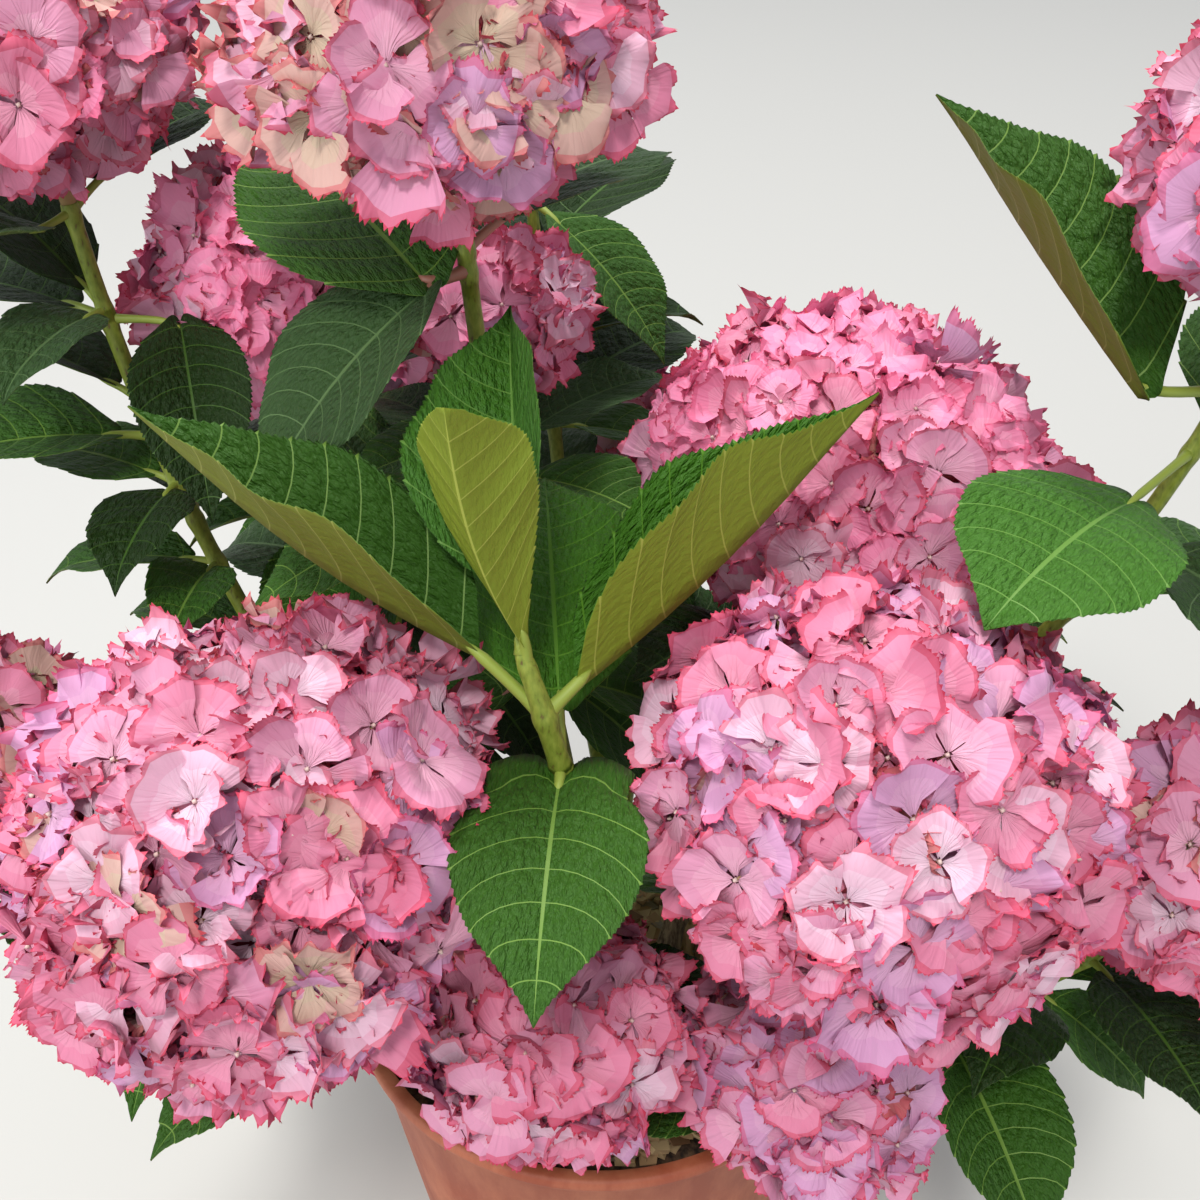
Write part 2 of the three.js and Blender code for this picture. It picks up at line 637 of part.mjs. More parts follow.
addPiece("pot", pot(), potPlastic);
addPiece("soil", soil(), pottingSoil);
for (const cane of canes) addPiece(cane.name, caneSolid(cane, 0), bark);
const leafyBodies = shoots.map((shoot) => shootSolid(shoot));
shoots.forEach((shoot, index) => addPiece(`shoot_${shoot.name}`, leafyBodies[index], greenLeaf));
shoots.forEach((shoot, index) => {
  if (shoot.bloom) addPiece(`bloom_${shoot.name}`, bloomSolid(shoot, index), pinkFloret);
});

export default shrub;
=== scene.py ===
import math

import bpy
import numpy as np
from mathutils import Euler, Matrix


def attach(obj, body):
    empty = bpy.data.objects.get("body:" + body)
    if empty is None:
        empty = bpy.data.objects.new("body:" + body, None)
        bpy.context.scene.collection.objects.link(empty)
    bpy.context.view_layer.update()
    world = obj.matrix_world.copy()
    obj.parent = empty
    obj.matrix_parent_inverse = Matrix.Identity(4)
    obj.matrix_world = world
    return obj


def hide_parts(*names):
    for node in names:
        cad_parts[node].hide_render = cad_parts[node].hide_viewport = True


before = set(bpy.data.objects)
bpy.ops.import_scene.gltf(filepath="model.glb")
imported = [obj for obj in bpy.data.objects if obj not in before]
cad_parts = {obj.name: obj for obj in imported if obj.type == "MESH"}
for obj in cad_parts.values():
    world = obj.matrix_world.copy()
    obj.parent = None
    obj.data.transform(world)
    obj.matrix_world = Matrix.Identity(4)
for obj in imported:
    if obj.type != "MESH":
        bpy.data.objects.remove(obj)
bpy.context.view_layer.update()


# The pot is a plain round nursery pot, moulded in one piece in terracotta-coloured plastic.
# Its wall widens upwards to a small rolled lip, and six drain holes are cut in its floor.
POT_HEIGHT = 0.252
POT_TOP_RADIUS = 0.138
POT_FOOT_RADIUS = 0.102
POT_WALL = 0.004
POT_FLOOR = 0.005
POT_FACETS = 144
FOOT_BEVEL = 0.003
LIP_REACH = 0.005
DRAIN_HOLES = 6
DRAIN_RING = 0.070
DRAIN_RADIUS = 0.007


def seen(red, green, blue):
    """A colour as it is seen on a screen, from 0 to 255, in the linear values that a shader takes."""
    parts = [level / 255 for level in (red, green, blue)]
    return (*(c / 12.92 if c < 0.0404 else ((c + 0.055) / 1.055) ** 2.4 for c in parts), 1.0)


def finish(name, colour, roughness):
    """A new material with a plain colour and roughness."""
    material = bpy.data.materials.new(name)
    material.use_nodes = True
    shader = material.node_tree.nodes["Principled BSDF"]
    shader.inputs["Base Color"].default_value = colour
    shader.inputs["Roughness"].default_value = roughness
    return material


def add(tree, kind, inputs, **settings):
    """A new shader node with its settings. Each input takes a constant or another node's output."""
    node = tree.nodes.new("ShaderNode" + kind)
    for setting, value in settings.items():
        setattr(node, setting, value)
    for name, value in inputs.items():
        if isinstance(value, bpy.types.NodeSocket):
            tree.links.new(value, node.inputs[name])
        else:
            node.inputs[name].default_value = value
    return node


def feed(material, name, output):
    """Link a node's output to an input of the material's shader."""
    tree = material.node_tree
    tree.links.new(output, tree.nodes["Principled BSDF"].inputs[name])


def emboss(material, height, **sockets):
    """Give the material's surface a fine relief from a height."""
    feed(material, "Normal", add(material.node_tree, "Bump", {"Height": height, **sockets}).outputs["Normal"])


def new_group(name, inputs, outputs):
    """A node group with named inputs and outputs, and the two nodes that hold them."""
    group = bpy.data.node_groups.new(name, "ShaderNodeTree")
    for way, sockets in (("INPUT", inputs), ("OUTPUT", outputs)):
        for socket, kind in sockets.items():
            group.interface.new_socket(socket, in_out=way, socket_type="NodeSocket" + kind)
    return group, group.nodes.new("NodeGroupInput").outputs, group.nodes.new("NodeGroupOutput").inputs


def outside(z):
    """The radius of the pot's outer wall at a height."""
    return POT_FOOT_RADIUS + (POT_TOP_RADIUS - POT_FOOT_RADIUS) * z / POT_HEIGHT


lip_radius = POT_TOP_RADIUS + LIP_REACH
mouth_radius = POT_TOP_RADIUS - POT_WALL
floor_radius = outside(POT_FLOOR) - POT_WALL
pot_profile = [(outside(z), z) for z in (0.003, 0.012, 0.06, 0.12, 0.18)] + [
    (outside(0.242), 0.241),
    (outside(0.243) + 0.0012, 0.2422),
    (outside(0.244) + 0.0036, 0.2432),
    (lip_radius - 0.0006, 0.2446),
    (lip_radius, 0.2466),
    (lip_radius, 0.2494),
    (lip_radius - 0.0008, 0.2511),
    (lip_radius - 0.0026, POT_HEIGHT),
    (POT_TOP_RADIUS - 0.0018, POT_HEIGHT),
    (mouth_radius + 0.0006, 0.2514),
    (mouth_radius, 0.2500),
    (outside(0.18) - POT_WALL, 0.18),
    (floor_radius, POT_FLOOR + 0.002),
    (floor_radius - 0.002, POT_FLOOR),
]
last_radius, last_z = outside(0) - FOOT_BEVEL, 0.0
bpy.ops.object.select_all(action="DESELECT")
bpy.ops.mesh.primitive_circle_add(vertices=POT_FACETS, radius=last_radius, fill_type="NGON")
pot = bpy.context.object
pot.name = pot.data.name = "pot_shell"
bpy.ops.object.mode_set(mode="EDIT")
bpy.ops.mesh.select_all(action="SELECT")
for radius, z in pot_profile:
    widening = radius / last_radius
    bpy.ops.mesh.extrude_region_move(TRANSFORM_OT_translate={"value": (0, 0, z - last_z)})
    bpy.ops.transform.resize(value=(widening, widening, 1), center_override=(0, 0, z))
    last_radius, last_z = radius, z
bpy.ops.mesh.select_all(action="SELECT")
bpy.ops.mesh.normals_make_consistent(inside=False)
bpy.ops.object.mode_set(mode="OBJECT")
for turn in range(DRAIN_HOLES):
    angle = math.tau * turn / DRAIN_HOLES
    bpy.ops.object.select_all(action="DESELECT")
    bpy.ops.mesh.primitive_cylinder_add(
        vertices=32, radius=DRAIN_RADIUS, depth=4 * POT_FLOOR,
        location=(DRAIN_RING * math.cos(angle), DRAIN_RING * math.sin(angle), POT_FLOOR / 2),
    )
    drill = bpy.context.object
    cut = pot.modifiers.new("drain", "BOOLEAN")
    cut.operation = "DIFFERENCE"
    cut.object = drill
    bpy.context.view_layer.objects.active = pot
    bpy.ops.object.modifier_apply(modifier=cut.name)
    bpy.data.objects.remove(drill)
bpy.ops.object.select_all(action="DESELECT")
pot.select_set(True)
bpy.context.view_layer.objects.active = pot
bpy.ops.object.shade_smooth_by_angle(angle=math.radians(40))

# Faded plastic, soil, bark and green stems are all mottled by noise that runs between two colours.
mottling, given, result = new_group("mottling", {
    "Stretch": "Vector", "Scale": "Float", "Detail": "Float", "Roughness": "Float",
    "Dark At": "Float", "Light At": "Float", "Dark": "Color", "Light": "Color",
}, {"Color": "Color", "Height": "Float"})
place = add(mottling, "TexCoord", {}).outputs["Object"]
stretched = add(mottling, "Mapping", {"Vector": place, "Scale": given["Stretch"]}).outputs["Vector"]
noise = add(mottling, "TexNoise", {
    "Vector": stretched, "Scale": given["Scale"], "Detail": given["Detail"], "Roughness": given["Roughness"],
}).outputs["Fac"]
lightness = add(mottling, "MapRange", {
    "Value": noise, "From Min": given["Dark At"], "From Max": given["Light At"],
}).outputs["Result"]
mixed = add(mottling, "Mix", {
    "Factor": lightness, "A": given["Dark"], "B": given["Light"],
}, data_type="RGBA").outputs["Result"]
mottling.links.new(mixed, result["Color"])
mottling.links.new(noise, result["Height"])

# The pot's plastic is matt and a little faded, with splashed soil low down.
potware = finish("pot_plastic", seen(176, 92, 62), 0.55)
tree = potware.node_tree
faded = add(tree, "Group", {
    "Stretch": (1, 1, 0.35), "Scale": 26, "Detail": 8, "Roughness": 0.68,
    "Dark At": 0.38, "Light At": 0.68, "Dark": seen(158, 78, 52), "Light": seen(194, 118, 86),
}, node_tree=mottling).outputs
place = add(tree, "TexCoord", {}).outputs["Object"]
height = add(tree, "SeparateXYZ", {"Vector": place}).outputs["Z"]
low = add(tree, "MapRange", {"Value": height, "From Min": 0.05, "From Max": 0.0}).outputs["Result"]
smudge = add(tree, "Math", {0: low, 1: faded["Height"]}, operation="MULTIPLY").outputs["Value"]
soiled = add(tree, "Mix", {
    "Factor": smudge, "A": faded["Color"], "B": seen(112, 84, 62),
}, data_type="RGBA").outputs["Result"]
feed(potware, "Base Color", soiled)
pebbles = add(tree, "TexNoise", {"Vector": place, "Scale": 900}).outputs["Fac"]
emboss(potware, pebbles, Distance=0.0004, Strength=0.12)
pot.data.materials.append(potware)
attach(pot, "root")
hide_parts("pot")


# The soil is peat and bark, filled to 20 mm under the lip and mulched with pale wood chips.
# Its lumpy top is a disc over the packed soil, and the chips lie loose on it, one over another.
SOIL_TOP = 0.232
SOIL_EDGE = 0.1305
SOIL_CELLS = 72
CHIP_COUNT = 1500
CHIP_SPREAD = 0.118


def read_off(primitive):
    """The points and faces of a new primitive, which is then taken away."""
    points = np.array([tuple(vertex.co) for vertex in primitive.data.vertices])
    faces = np.array([(*face.vertices, face.vertices[-1])[:4] for face in primitive.data.polygons])
    bpy.data.objects.remove(primitive)
    return points, faces


def joined(name, meshes, materials, slots=None, smooth=True):
    """One mesh object from pairs of points and faces, with a material slot for each face.
    A face has four corners, or three with the last one given twice."""
    starts = np.cumsum([0] + [len(points) for points, _ in meshes[:-1]])
    points = np.concatenate([points for points, _ in meshes])
    faces = np.concatenate([faces + start for (_, faces), start in zip(meshes, starts)])
    used = np.ones(faces.shape, bool)
    used[:, 3] = faces[:, 3] != faces[:, 2]
    corners = faces[used]
    loop_starts = np.concatenate([[0], np.cumsum(used.sum(axis=1))[:-1]])
    slots = np.zeros(len(faces)) if slots is None else slots
    mesh = bpy.data.meshes.new(name)
    mesh.vertices.add(len(points))
    mesh.vertices.foreach_set("co", np.ascontiguousarray(points, dtype=np.float32).ravel())
    mesh.loops.add(len(corners))
    mesh.loops.foreach_set("vertex_index", np.ascontiguousarray(corners, dtype=np.int32))
    mesh.polygons.add(len(faces))
    mesh.polygons.foreach_set("loop_start", np.ascontiguousarray(loop_starts, dtype=np.int32))
    mesh.polygons.foreach_set("material_index", np.ascontiguousarray(slots, dtype=np.int32))
    mesh.polygons.foreach_set("use_smooth", np.full(len(faces), smooth))
    for material in materials:
        mesh.materials.append(material)
    mesh.update(calc_edges=True)
    piece = bpy.data.objects.new(name, mesh)
    bpy.context.scene.collection.objects.link(piece)
    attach(piece, "root")
    return piece


draw = np.random.RandomState(11)
bpy.ops.object.select_all(action="DESELECT")
bpy.ops.mesh.primitive_grid_add(x_subdivisions=SOIL_CELLS, y_subdivisions=SOIL_CELLS, size=2)
square, soil_faces = read_off(bpy.context.object)
x, y = square[:, 0], square[:, 1]
round_x, round_y = x * np.sqrt(1 - y * y / 2), y * np.sqrt(1 - x * x / 2)
lumps = sum(
    np.sin(f * round_x + p) * np.sin(f * round_y + q) * size
    for f, p, q, size in [(9, 1, 2, 1.0), (21, 4, 1, 0.7), (47, 2, 5, 0.45), (95, 3, 3, 0.25)]
)
lift = 0.0035 + 0.0011 * lumps + 0.0007 * draw.uniform(-1, 1, len(x))
lift = lift * (1 - np.hypot(round_x, round_y) ** 12)
soil_points = np.stack([round_x * SOIL_EDGE, round_y * SOIL_EDGE, SOIL_TOP + lift], axis=1)
earth = finish("potting_soil", seen(62, 46, 36), 0.95)
grains = add(earth.node_tree, "Group", {
    "Stretch": (1, 1, 1), "Scale": 240, "Detail": 6, "Roughness": 0.5,
    "Dark At": 0.35, "Light At": 0.7, "Dark": seen(38, 27, 21), "Light": seen(104, 80, 60),
}, node_tree=mottling).outputs
feed(earth, "Base Color", grains["Color"])
emboss(earth, grains["Height"], Distance=0.0015)
soil_top = joined("soil_top", [(soil_points, soil_faces)], [earth])
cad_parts["soil"].material_slots[0].material = earth

# Each chip is a split of soft wood with uneven corners, in one of four shades of tan.
chip_shades = {
    "straw": (196, 170, 128), "tan": (168, 136, 98), "brown": (118, 86, 58), "grey": (150, 138, 120),
}
chip_woods = [finish(f"chip_{shade}", seen(*colour), 0.85) for shade, colour in chip_shades.items()]
chip_box = np.array([(i, j, k) for i in (-1, 1) for j in (-1, 1) for k in (-1, 1)], float)
chip_faces = np.array([(0, 1, 3, 2), (4, 6, 7, 5), (0, 4, 5, 1), (2, 3, 7, 6), (0, 2, 6, 4), (1, 5, 7, 3)])
chip_meshes = []
for _ in range(CHIP_COUNT):
    size = (draw.uniform(0.004, 0.012), draw.uniform(0.002, 0.0048), draw.uniform(0.0006, 0.0015))
    chip = (chip_box + draw.uniform(-0.28, 0.28, (8, 3))) * size
    turn = Euler((draw.normal(0, 0.25), draw.normal(0, 0.2), draw.uniform(0, math.tau))).to_matrix()
    away, angle = CHIP_SPREAD * math.sqrt(draw.uniform()), draw.uniform(0, math.tau)
    seat = (away * math.cos(angle), away * math.sin(angle), SOIL_TOP + draw.uniform(0.004, 0.0085))
    chip_meshes.append((chip @ np.array(turn).T + seat, chip_faces))
chip_slots = np.repeat(draw.choice(4, CHIP_COUNT, p=[0.34, 0.34, 0.2, 0.12]), len(chip_faces))
chips = joined("wood_chips", chip_meshes, chip_woods, chip_slots, smooth=False)


# Ten woody canes rise from the crown of the roots, flared at the soil, and lean out to where
# this season's shoots leave them. Their bark is grey-brown, thin and split along its length.
CANE_FOOT = 228
CANE_FOOT_RADIUS = 7
CANE_TIP_RADIUS = 5.6
CANE_FLARE = 0.45
CANE_FLARE_HEIGHT = 0.12
CANE_BEND = np.array([0.35, 0.35, 0.5])
CANE_JOINTS = (0.42, 0.86)
CANE_JOINT_SWELLING = 0.16
CANE_JOINT_LENGTH = 2.4
# For each cane the place of its foot in the soil and of its tip, in millimetres.
canes = [
    ((-34, -30), (-60, -66, 292)),
    ((30, -34), (46, -64, 276)),
    ((-4, -12), (-8, -22, 336)),
    ((58, -20), (120, -34, 296)),
    ((38, 22), (60, 36, 312)),
    ((64, 8), (110, 4, 330)),
    ((6, 40), (14, 72, 304)),
    ((-38, 38), (-66, 66, 318)),
    ((-58, 4), (-98, 14, 312)),
    ((-18, 16), (-28, 48, 322)),
]


class Bend:
    """A curve in millimetres from its first to its last control point, drawn to those between them.
    It is read by the share of its whole length."""

    def __init__(self, controls):
        self.controls = np.array(controls, float)
        self.shares = np.linspace(0, 1, 201)
        steps = np.linalg.norm(np.diff(self.points(self.shares), axis=0), axis=1)
        self.run = np.concatenate([[0], np.cumsum(steps)])
        self.length = self.run[-1]

    def points(self, t):
        t = np.atleast_1d(t)[:, None]
        order = len(self.controls) - 1
        weights = [math.comb(order, k) * (1 - t) ** (order - k) * t ** k for k in range(order + 1)]
        return sum(weight * control for weight, control in zip(weights, self.controls))

    def share(self, s):
        return np.interp(np.atleast_1d(s) * self.length, self.run, self.shares)

    def at(self, s):
        return self.points(self.share(s))

    def tangent(self, s):
        t = self.share(s)
        step = self.points(np.minimum(t + 1e-4, 1)) - self.points(np.maximum(t - 1e-4, 0))
        return step / np.linalg.norm(step, axis=1, keepdims=True)


def tube(curve, radius, sides, s, relief=0.0, phase=0.0):
    """Rings of points round a curve at the places s, with the faces between them, closed at both
    ends. The curve and the radius at each ring are in millimetres, and the points in metres."""
    chord = curve.at(1)[0] - curve.at(0)[0]
    runs_sideways = abs(chord[0]) > 0.8 * np.linalg.norm(chord)
    reference = np.array([0.0, 1, 0] if runs_sideways else [1.0, 0, 0])
    tangent = curve.tangent(s)
    first = reference - tangent * (tangent @ reference)[:, None]
    first /= np.linalg.norm(first, axis=1, keepdims=True)
    second = np.cross(first, tangent)
    angle = np.linspace(0, math.tau, sides, endpoint=False)
    place = s[:, None]
    ridges = np.sin(5 * angle + phase + 3 * np.sin(9 * place)) + np.sin(9 * angle - 2 * phase + 14 * place)
    girth = np.broadcast_to(radius, len(s))[:, None] * (1 + 0.5 * relief * ridges)
    ring = first[:, None] * np.cos(angle)[None, :, None] + second[:, None] * np.sin(angle)[None, :, None]
    points = curve.at(s)[:, None] + ring * girth[..., None]
    ends = np.concatenate([curve.at(s[0]), curve.at(s[-1])])
    points = np.concatenate([points.reshape(-1, 3), ends]) / 1000
    rows, around = np.meshgrid(np.arange(len(s) - 1), np.arange(sides), indexing="ij")
    here, after = rows * sides + around, rows * sides + (around + 1) % sides
    wall = np.stack([here, after, after + sides, here + sides], axis=-1).reshape(-1, 4)
    low = np.arange(0, sides, 2)
    high = low + (len(s) - 1) * sides
    beyond_low, beyond_high = (low + 2) % sides, (low + 2) % sides + (len(s) - 1) * sides
    foot_cap = np.stack([np.full(len(low), len(points) - 2), beyond_low, low + 1, low], axis=1)
    tip_cap = np.stack([np.full(len(low), len(points) - 1), high, high + 1, beyond_high], axis=1)
    return points, np.concatenate([wall, foot_cap, tip_cap])


def swellings(curve, s, joints, length, below=0):
    """For each joint how near the places s are to the one so many millimetres below it, from 0 to 1."""
    return [np.exp(-(((s - joint) * curve.length + below) / length) ** 2) for joint in joints]


cane_curves = []
cane_meshes = []
for number, (foot, tip) in enumerate(canes):
    foot, tip = np.array([*foot, CANE_FOOT], float), np.array(tip, float)
    curve = Bend([foot, foot + (tip - foot) * CANE_BEND, tip])
    s = np.linspace(0, 1, 34)
    radius = CANE_FOOT_RADIUS + (CANE_TIP_RADIUS - CANE_FOOT_RADIUS) * s
    radius *= 1 + CANE_FLARE * np.exp(-s / CANE_FLARE_HEIGHT)
    radius *= 1 + CANE_JOINT_SWELLING * sum(swellings(curve, s, CANE_JOINTS, CANE_JOINT_LENGTH))
    cane_curves.append(curve)
    cane_meshes.append(tube(curve, radius, 20, s, relief=0.055, phase=number))
bark = finish("cane_bark", seen(122, 104, 78), 0.86)
splits = add(bark.node_tree, "Group", {
    "Stretch": (1, 1, 0.16), "Scale": 420, "Detail": 7, "Roughness": 0.6,
    "Dark At": 0.36, "Light At": 0.66, "Dark": seen(70, 54, 38), "Light": seen(158, 140, 108),
}, node_tree=mottling).outputs
feed(bark, "Base Color", splits["Color"])
emboss(bark, splits["Height"], Distance=0.0012)
cane_piece = joined("canes", cane_meshes, [bark])
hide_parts(*[f"cane_{number + 1}" for number in range(len(canes))])


# Each shoot is one green stem of this season. It leaves its cane, bends upright, and carries
# leaves in opposite pairs, each pair a quarter turn from the next, up to a flower head or a bud.
SHOOT_FOOT_RADIUS = 4.7
SHOOT_TIP_RADIUS = 3.7
SHOOT_REACH = 0.36
SHOOT_JOINT_SWELLING = 0.2
SHOOT_JOINT_LENGTH = 4.0
DOME_TOP = 0.95
DOME_UNDER = 0.72
STALK_LENGTH = 20
LEAF_WIDTH = 0.62
LEAF_ARCH = 0.07
LEAF_FOLD = 14
LEAF_WIDEST = 0.4
PETIOLE_LIFT = 18
PETIOLE_PART = 0.18
FIRST_PAIR_BELOW = 14
LEAF_FOOT_CLEAR = 16
PAIR_SPACING = 46
PAIR_LENGTHS = [88, 112, 124, 118, 104, 96]
PAIR_RISES = [22, 8, -6, -16, -24, -28]
YOUNG_BELOW = 52
YOUNG_FOOT_CLEAR = 30
ROOM_BLOOM = 7
ROOM_STEM = 7
ROOM_LEAF = 13
ROOM_POT = 10
BY_HAND = [(0, 0)]
LEAF_TRIES = [(0, 0), (0, -14), (20, -12), (-20, -12), (0, -28), (28, -26), (-28, -26), (0, 14), (0, -42)]


def leaf(below, heading, rise, length, **more):
    """A leaf that leaves its shoot this far below the tip, in millimetres and degrees."""
    return dict(below=below, heading=heading, rise=rise, length=length, **more)


# For each shoot the number of its cane and how far up that it leaves it, its flower head or its
# bare tip, the leaves that are listed one by one, and how many pairs follow by the rule.
shoots = [
    dict(
        name="left_front", cane=0, fork=1,
        bloom=dict(at=[-138, -151, 494], radius=105, lean=0.45),
        pairs=2, turn=150,
    ),
    dict(
        name="low_front", cane=0, fork=0.6,
        bloom=dict(at=[-24, -148, 382], radius=66, lean=0.5),
        pairs=1, turn=200,
    ),
    dict(
        name="low_middle", cane=1, fork=1,
        bloom=dict(at=[98, -142, 346], radius=63, lean=0.5),
        pairs=1, turn=20,
    ),
    dict(
        name="centre_leafy", cane=2, fork=0.8,
        tip=[-32, -135, 590], aim=[-0.32, 0.3, 0.9], start=[0, -0.6, 0.8], radius=5.4,
        own=[
            leaf(12, 214, 76, 113, roll=-47, fold=52, petiole=9, lift=16, arch=-0.06, width=0.6,
                 widest=0.66, heart=0),
            leaf(8, 94, 29, 138, roll=29, fold=49, petiole=22, lift=27, arch=-0.01, width=0.63,
                 heart=0, tone=4),
            leaf(36, 159, 30, 163, fold=52, roll=-7, petiole=36, lift=11, arch=-0.07, width=0.53,
                 tone=1, heart=0),
            leaf(36, 39, 26, 177, fold=75, roll=19, petiole=18, lift=0, arch=-0.06, width=0.49, heart=0),
            leaf(64, 266, -12, 106, fold=8, petiole=8, arch=0.1, width=0.68, tone=1, heart=1.0, veins=6),
            leaf(66, 94, 14, 132, fold=10, petiole=28, lift=30),
        ],
        pairs=1, first=150, turn=40,
    ),
    dict(
        name="top", cane=2, fork=1,
        bloom=dict(at=[-60, 3, 768], radius=85, lean=0.05, stalk=14),
        own=[
            leaf(13, 210, -44, 116, way=227, lift=44, fold=10, petiole=21, width=0.76, tone=3),
            leaf(13, 125, 9, 156, way=227, lift=-9, fold=8, roll=14, petiole=22, arch=0.03, tone=1),
            leaf(4, 52, -2, 118, fold=12, lift=18, petiole=26),
            leaf(120, 205, -14, 112, fold=8, petiole=14),
        ],
        pairs=2, first=170, turn=100,
    ),
    dict(
        name="right_front", cane=3, fork=1,
        bloom=dict(at=[111, -141, 508], radius=100, lean=0.42, stalk=12), start=[0.1, -0.3, 0.9],
        pairs=2, first=60, turn=70,
    ),
    dict(
        name="low_right", cane=3, fork=0.55,
        bloom=dict(at=[276, -104, 436], radius=70, lean=0.5), start=[0.75, -0.55, 0.35],
        pairs=3, turn=110,
    ),
    dict(
        name="right_middle", cane=4, fork=1,
        bloom=dict(at=[119, 74, 529], radius=104, lean=0.3, stalk=10),
        own=[leaf(6, 229, 18, 110, fold=10, petiole=24), leaf(14, 49, 0, 112, petiole=20)],
        pairs=2, first=62, turn=130,
    ),
    dict(
        name="back_right", cane=4, fork=0.6,
        bloom=dict(at=[226, 194, 442], radius=68, lean=0.5),
        pairs=3, turn=20,
    ),
    dict(
        name="right", cane=5, fork=1,
        bloom=dict(at=[288, -14, 720], radius=78, lean=0.2),
        own=[
            leaf(14, 131, 39, 157, way=198, lift=-32, fold=40, roll=-7, petiole=45, arch=-0.02, width=0.64),
            leaf(14, 312, 10, 120, petiole=20),
            leaf(46, 227, -2, 118, way=225, lift=-2, fold=8, roll=8, petiole=50, width=0.74,
                 widest=0.5, tone=4, veins=6),
            leaf(46, 47, 6, 124, petiole=24),
        ],
        pairs=4, first=96, turn=120,
    ),
    dict(
        name="back_middle", cane=6, fork=1,
        bloom=dict(at=[56, 268, 436], radius=68, lean=0.55),
        pairs=3, turn=60,
    ),
    dict(
        name="back_left", cane=7, fork=0.62,
        bloom=dict(at=[-153, 279, 486], radius=72, lean=0.5),
        pairs=4, turn=10,
    ),
    dict(
        name="left_middle", cane=7, fork=1,
        bloom=dict(at=[-166, 124, 620], radius=71, lean=0.3),
        own=[leaf(60, 254, -30, 96, petiole=14), leaf(60, 74, 0, 110, petiole=20)],
        pairs=4, first=104, turn=160,
    ),
    dict(
        name="left", cane=8, fork=1,
        bloom=dict(at=[-249, 71, 746], radius=75, lean=0.12, stalk=8),
        own=[
            leaf(4, 62, 4, 100, fold=16, lift=20, petiole=24),
            leaf(4, 242, 4, 84, lift=-10, petiole=18),
            leaf(56, 286, -38, 104, way=0, lift=36, fold=14, petiole=34, width=0.52, tone=2),
            leaf(56, 160, -4, 116, petiole=20),
            leaf(118, 200, -3, 118, petiole=20),
            leaf(164, 100, -13, 120, petiole=20),
        ],
        pairs=0, turn=30,
    ),
    dict(
        name="low_left", cane=8, fork=0.6,
        bloom=dict(at=[-318, -22, 424], radius=70, lean=0.5),
        pairs=4, turn=80,
    ),
    dict(
        name="behind_middle", cane=9, fork=1,
        bloom=dict(at=[-53, 144, 593], radius=50, lean=0.1),
        own=[
            leaf(16, 30, 6, 92, petiole=16),
            leaf(16, 212, 0, 84, petiole=16),
            leaf(34, 324, -2, 96, petiole=16),
            leaf(34, 140, 4, 100, petiole=16),
        ],
        pairs=2, first=96, turn=60,
    ),
    dict(
        name="back_leafy", cane=6, fork=0.7,
        tip=[-40, 228, 640], aim=[-0.1, 0.1, 1],
        own=[
            leaf(12, 320, -38, 104, fold=16, petiole=18, width=0.54),
            leaf(10, 145, 14, 104, petiole=16),
            leaf(44, 55, 6, 122, petiole=20),
            leaf(44, 190, 0, 96, petiole=18),
        ],
        pairs=4, first=84, turn=140,
    ),
]


def seeded(seed):
    """Numbers from 0 to 1 in an order that depends only on the seed."""
    state = seed
    while True:
        state = (state * 16807) % 2147483647
        yield state / 2147483647


def unit(v):
    v = np.array(v, float)
    return v / np.linalg.norm(v)


def compass(heading, rise):
    """The direction of a heading and a rise in degrees."""
    heading, rise = math.radians(heading), math.radians(rise)
    level = math.cos(rise)
    return np.array([level * math.cos(heading), level * math.sin(heading), math.sin(rise)])


def bloom_axis(bloom):
    out = unit([bloom["at"][0], bloom["at"][1], 0])
    return unit(out * bloom["lean"] + np.array([0, 0, 1]))


def shoot_curve(shoot):
    """The stem's curve, from its cane to the underside of its flower head or to its bud."""
    cane = cane_curves[shoot["cane"]]
    root, along = cane.at(shoot["fork"])[0], cane.tangent(shoot["fork"])[0]
    if shoot["fork"] == 1:
        root = root - 3 * along
    if "bloom" in shoot:
        bloom = shoot["bloom"]
        aim = bloom_axis(bloom)
        drop = DOME_UNDER * bloom["radius"] + bloom.get("stalk", STALK_LENGTH)
        tip = np.array(bloom["at"]) - aim * drop
    else:
        aim, tip = unit(shoot["aim"]), np.array(shoot["tip"], float)
    span = np.linalg.norm(tip - root)
    start = along
    if "start" in shoot:
        start = unit(shoot["start"])
    elif shoot["fork"] < 1:
        start = unit(unit([tip[0] - root[0], tip[1] - root[1], 0]) * 0.8 + np.array([0, 0, 0.6]))
    return Bend([root, root + start * span * SHOOT_REACH, tip - aim * span * SHOOT_REACH, tip])


def leaf_outline(one, s):
    """How wide a leaf is at s of its length, as a part of its widest place."""
    s, widest = np.clip(s, 0, 1), one.get("widest", LEAF_WIDEST)
    return (s / widest) ** (2 * widest) * ((1 - s) / (1 - widest)) ** (2 - 2 * widest)


def blade_base(one):
    petiole = one.get("petiole", PETIOLE_PART * one["length"])
    rise = one["rise"] + one.get("lift", PETIOLE_LIFT)
    return one["node"] + compass(one.get("way", one["heading"]), rise) * petiole


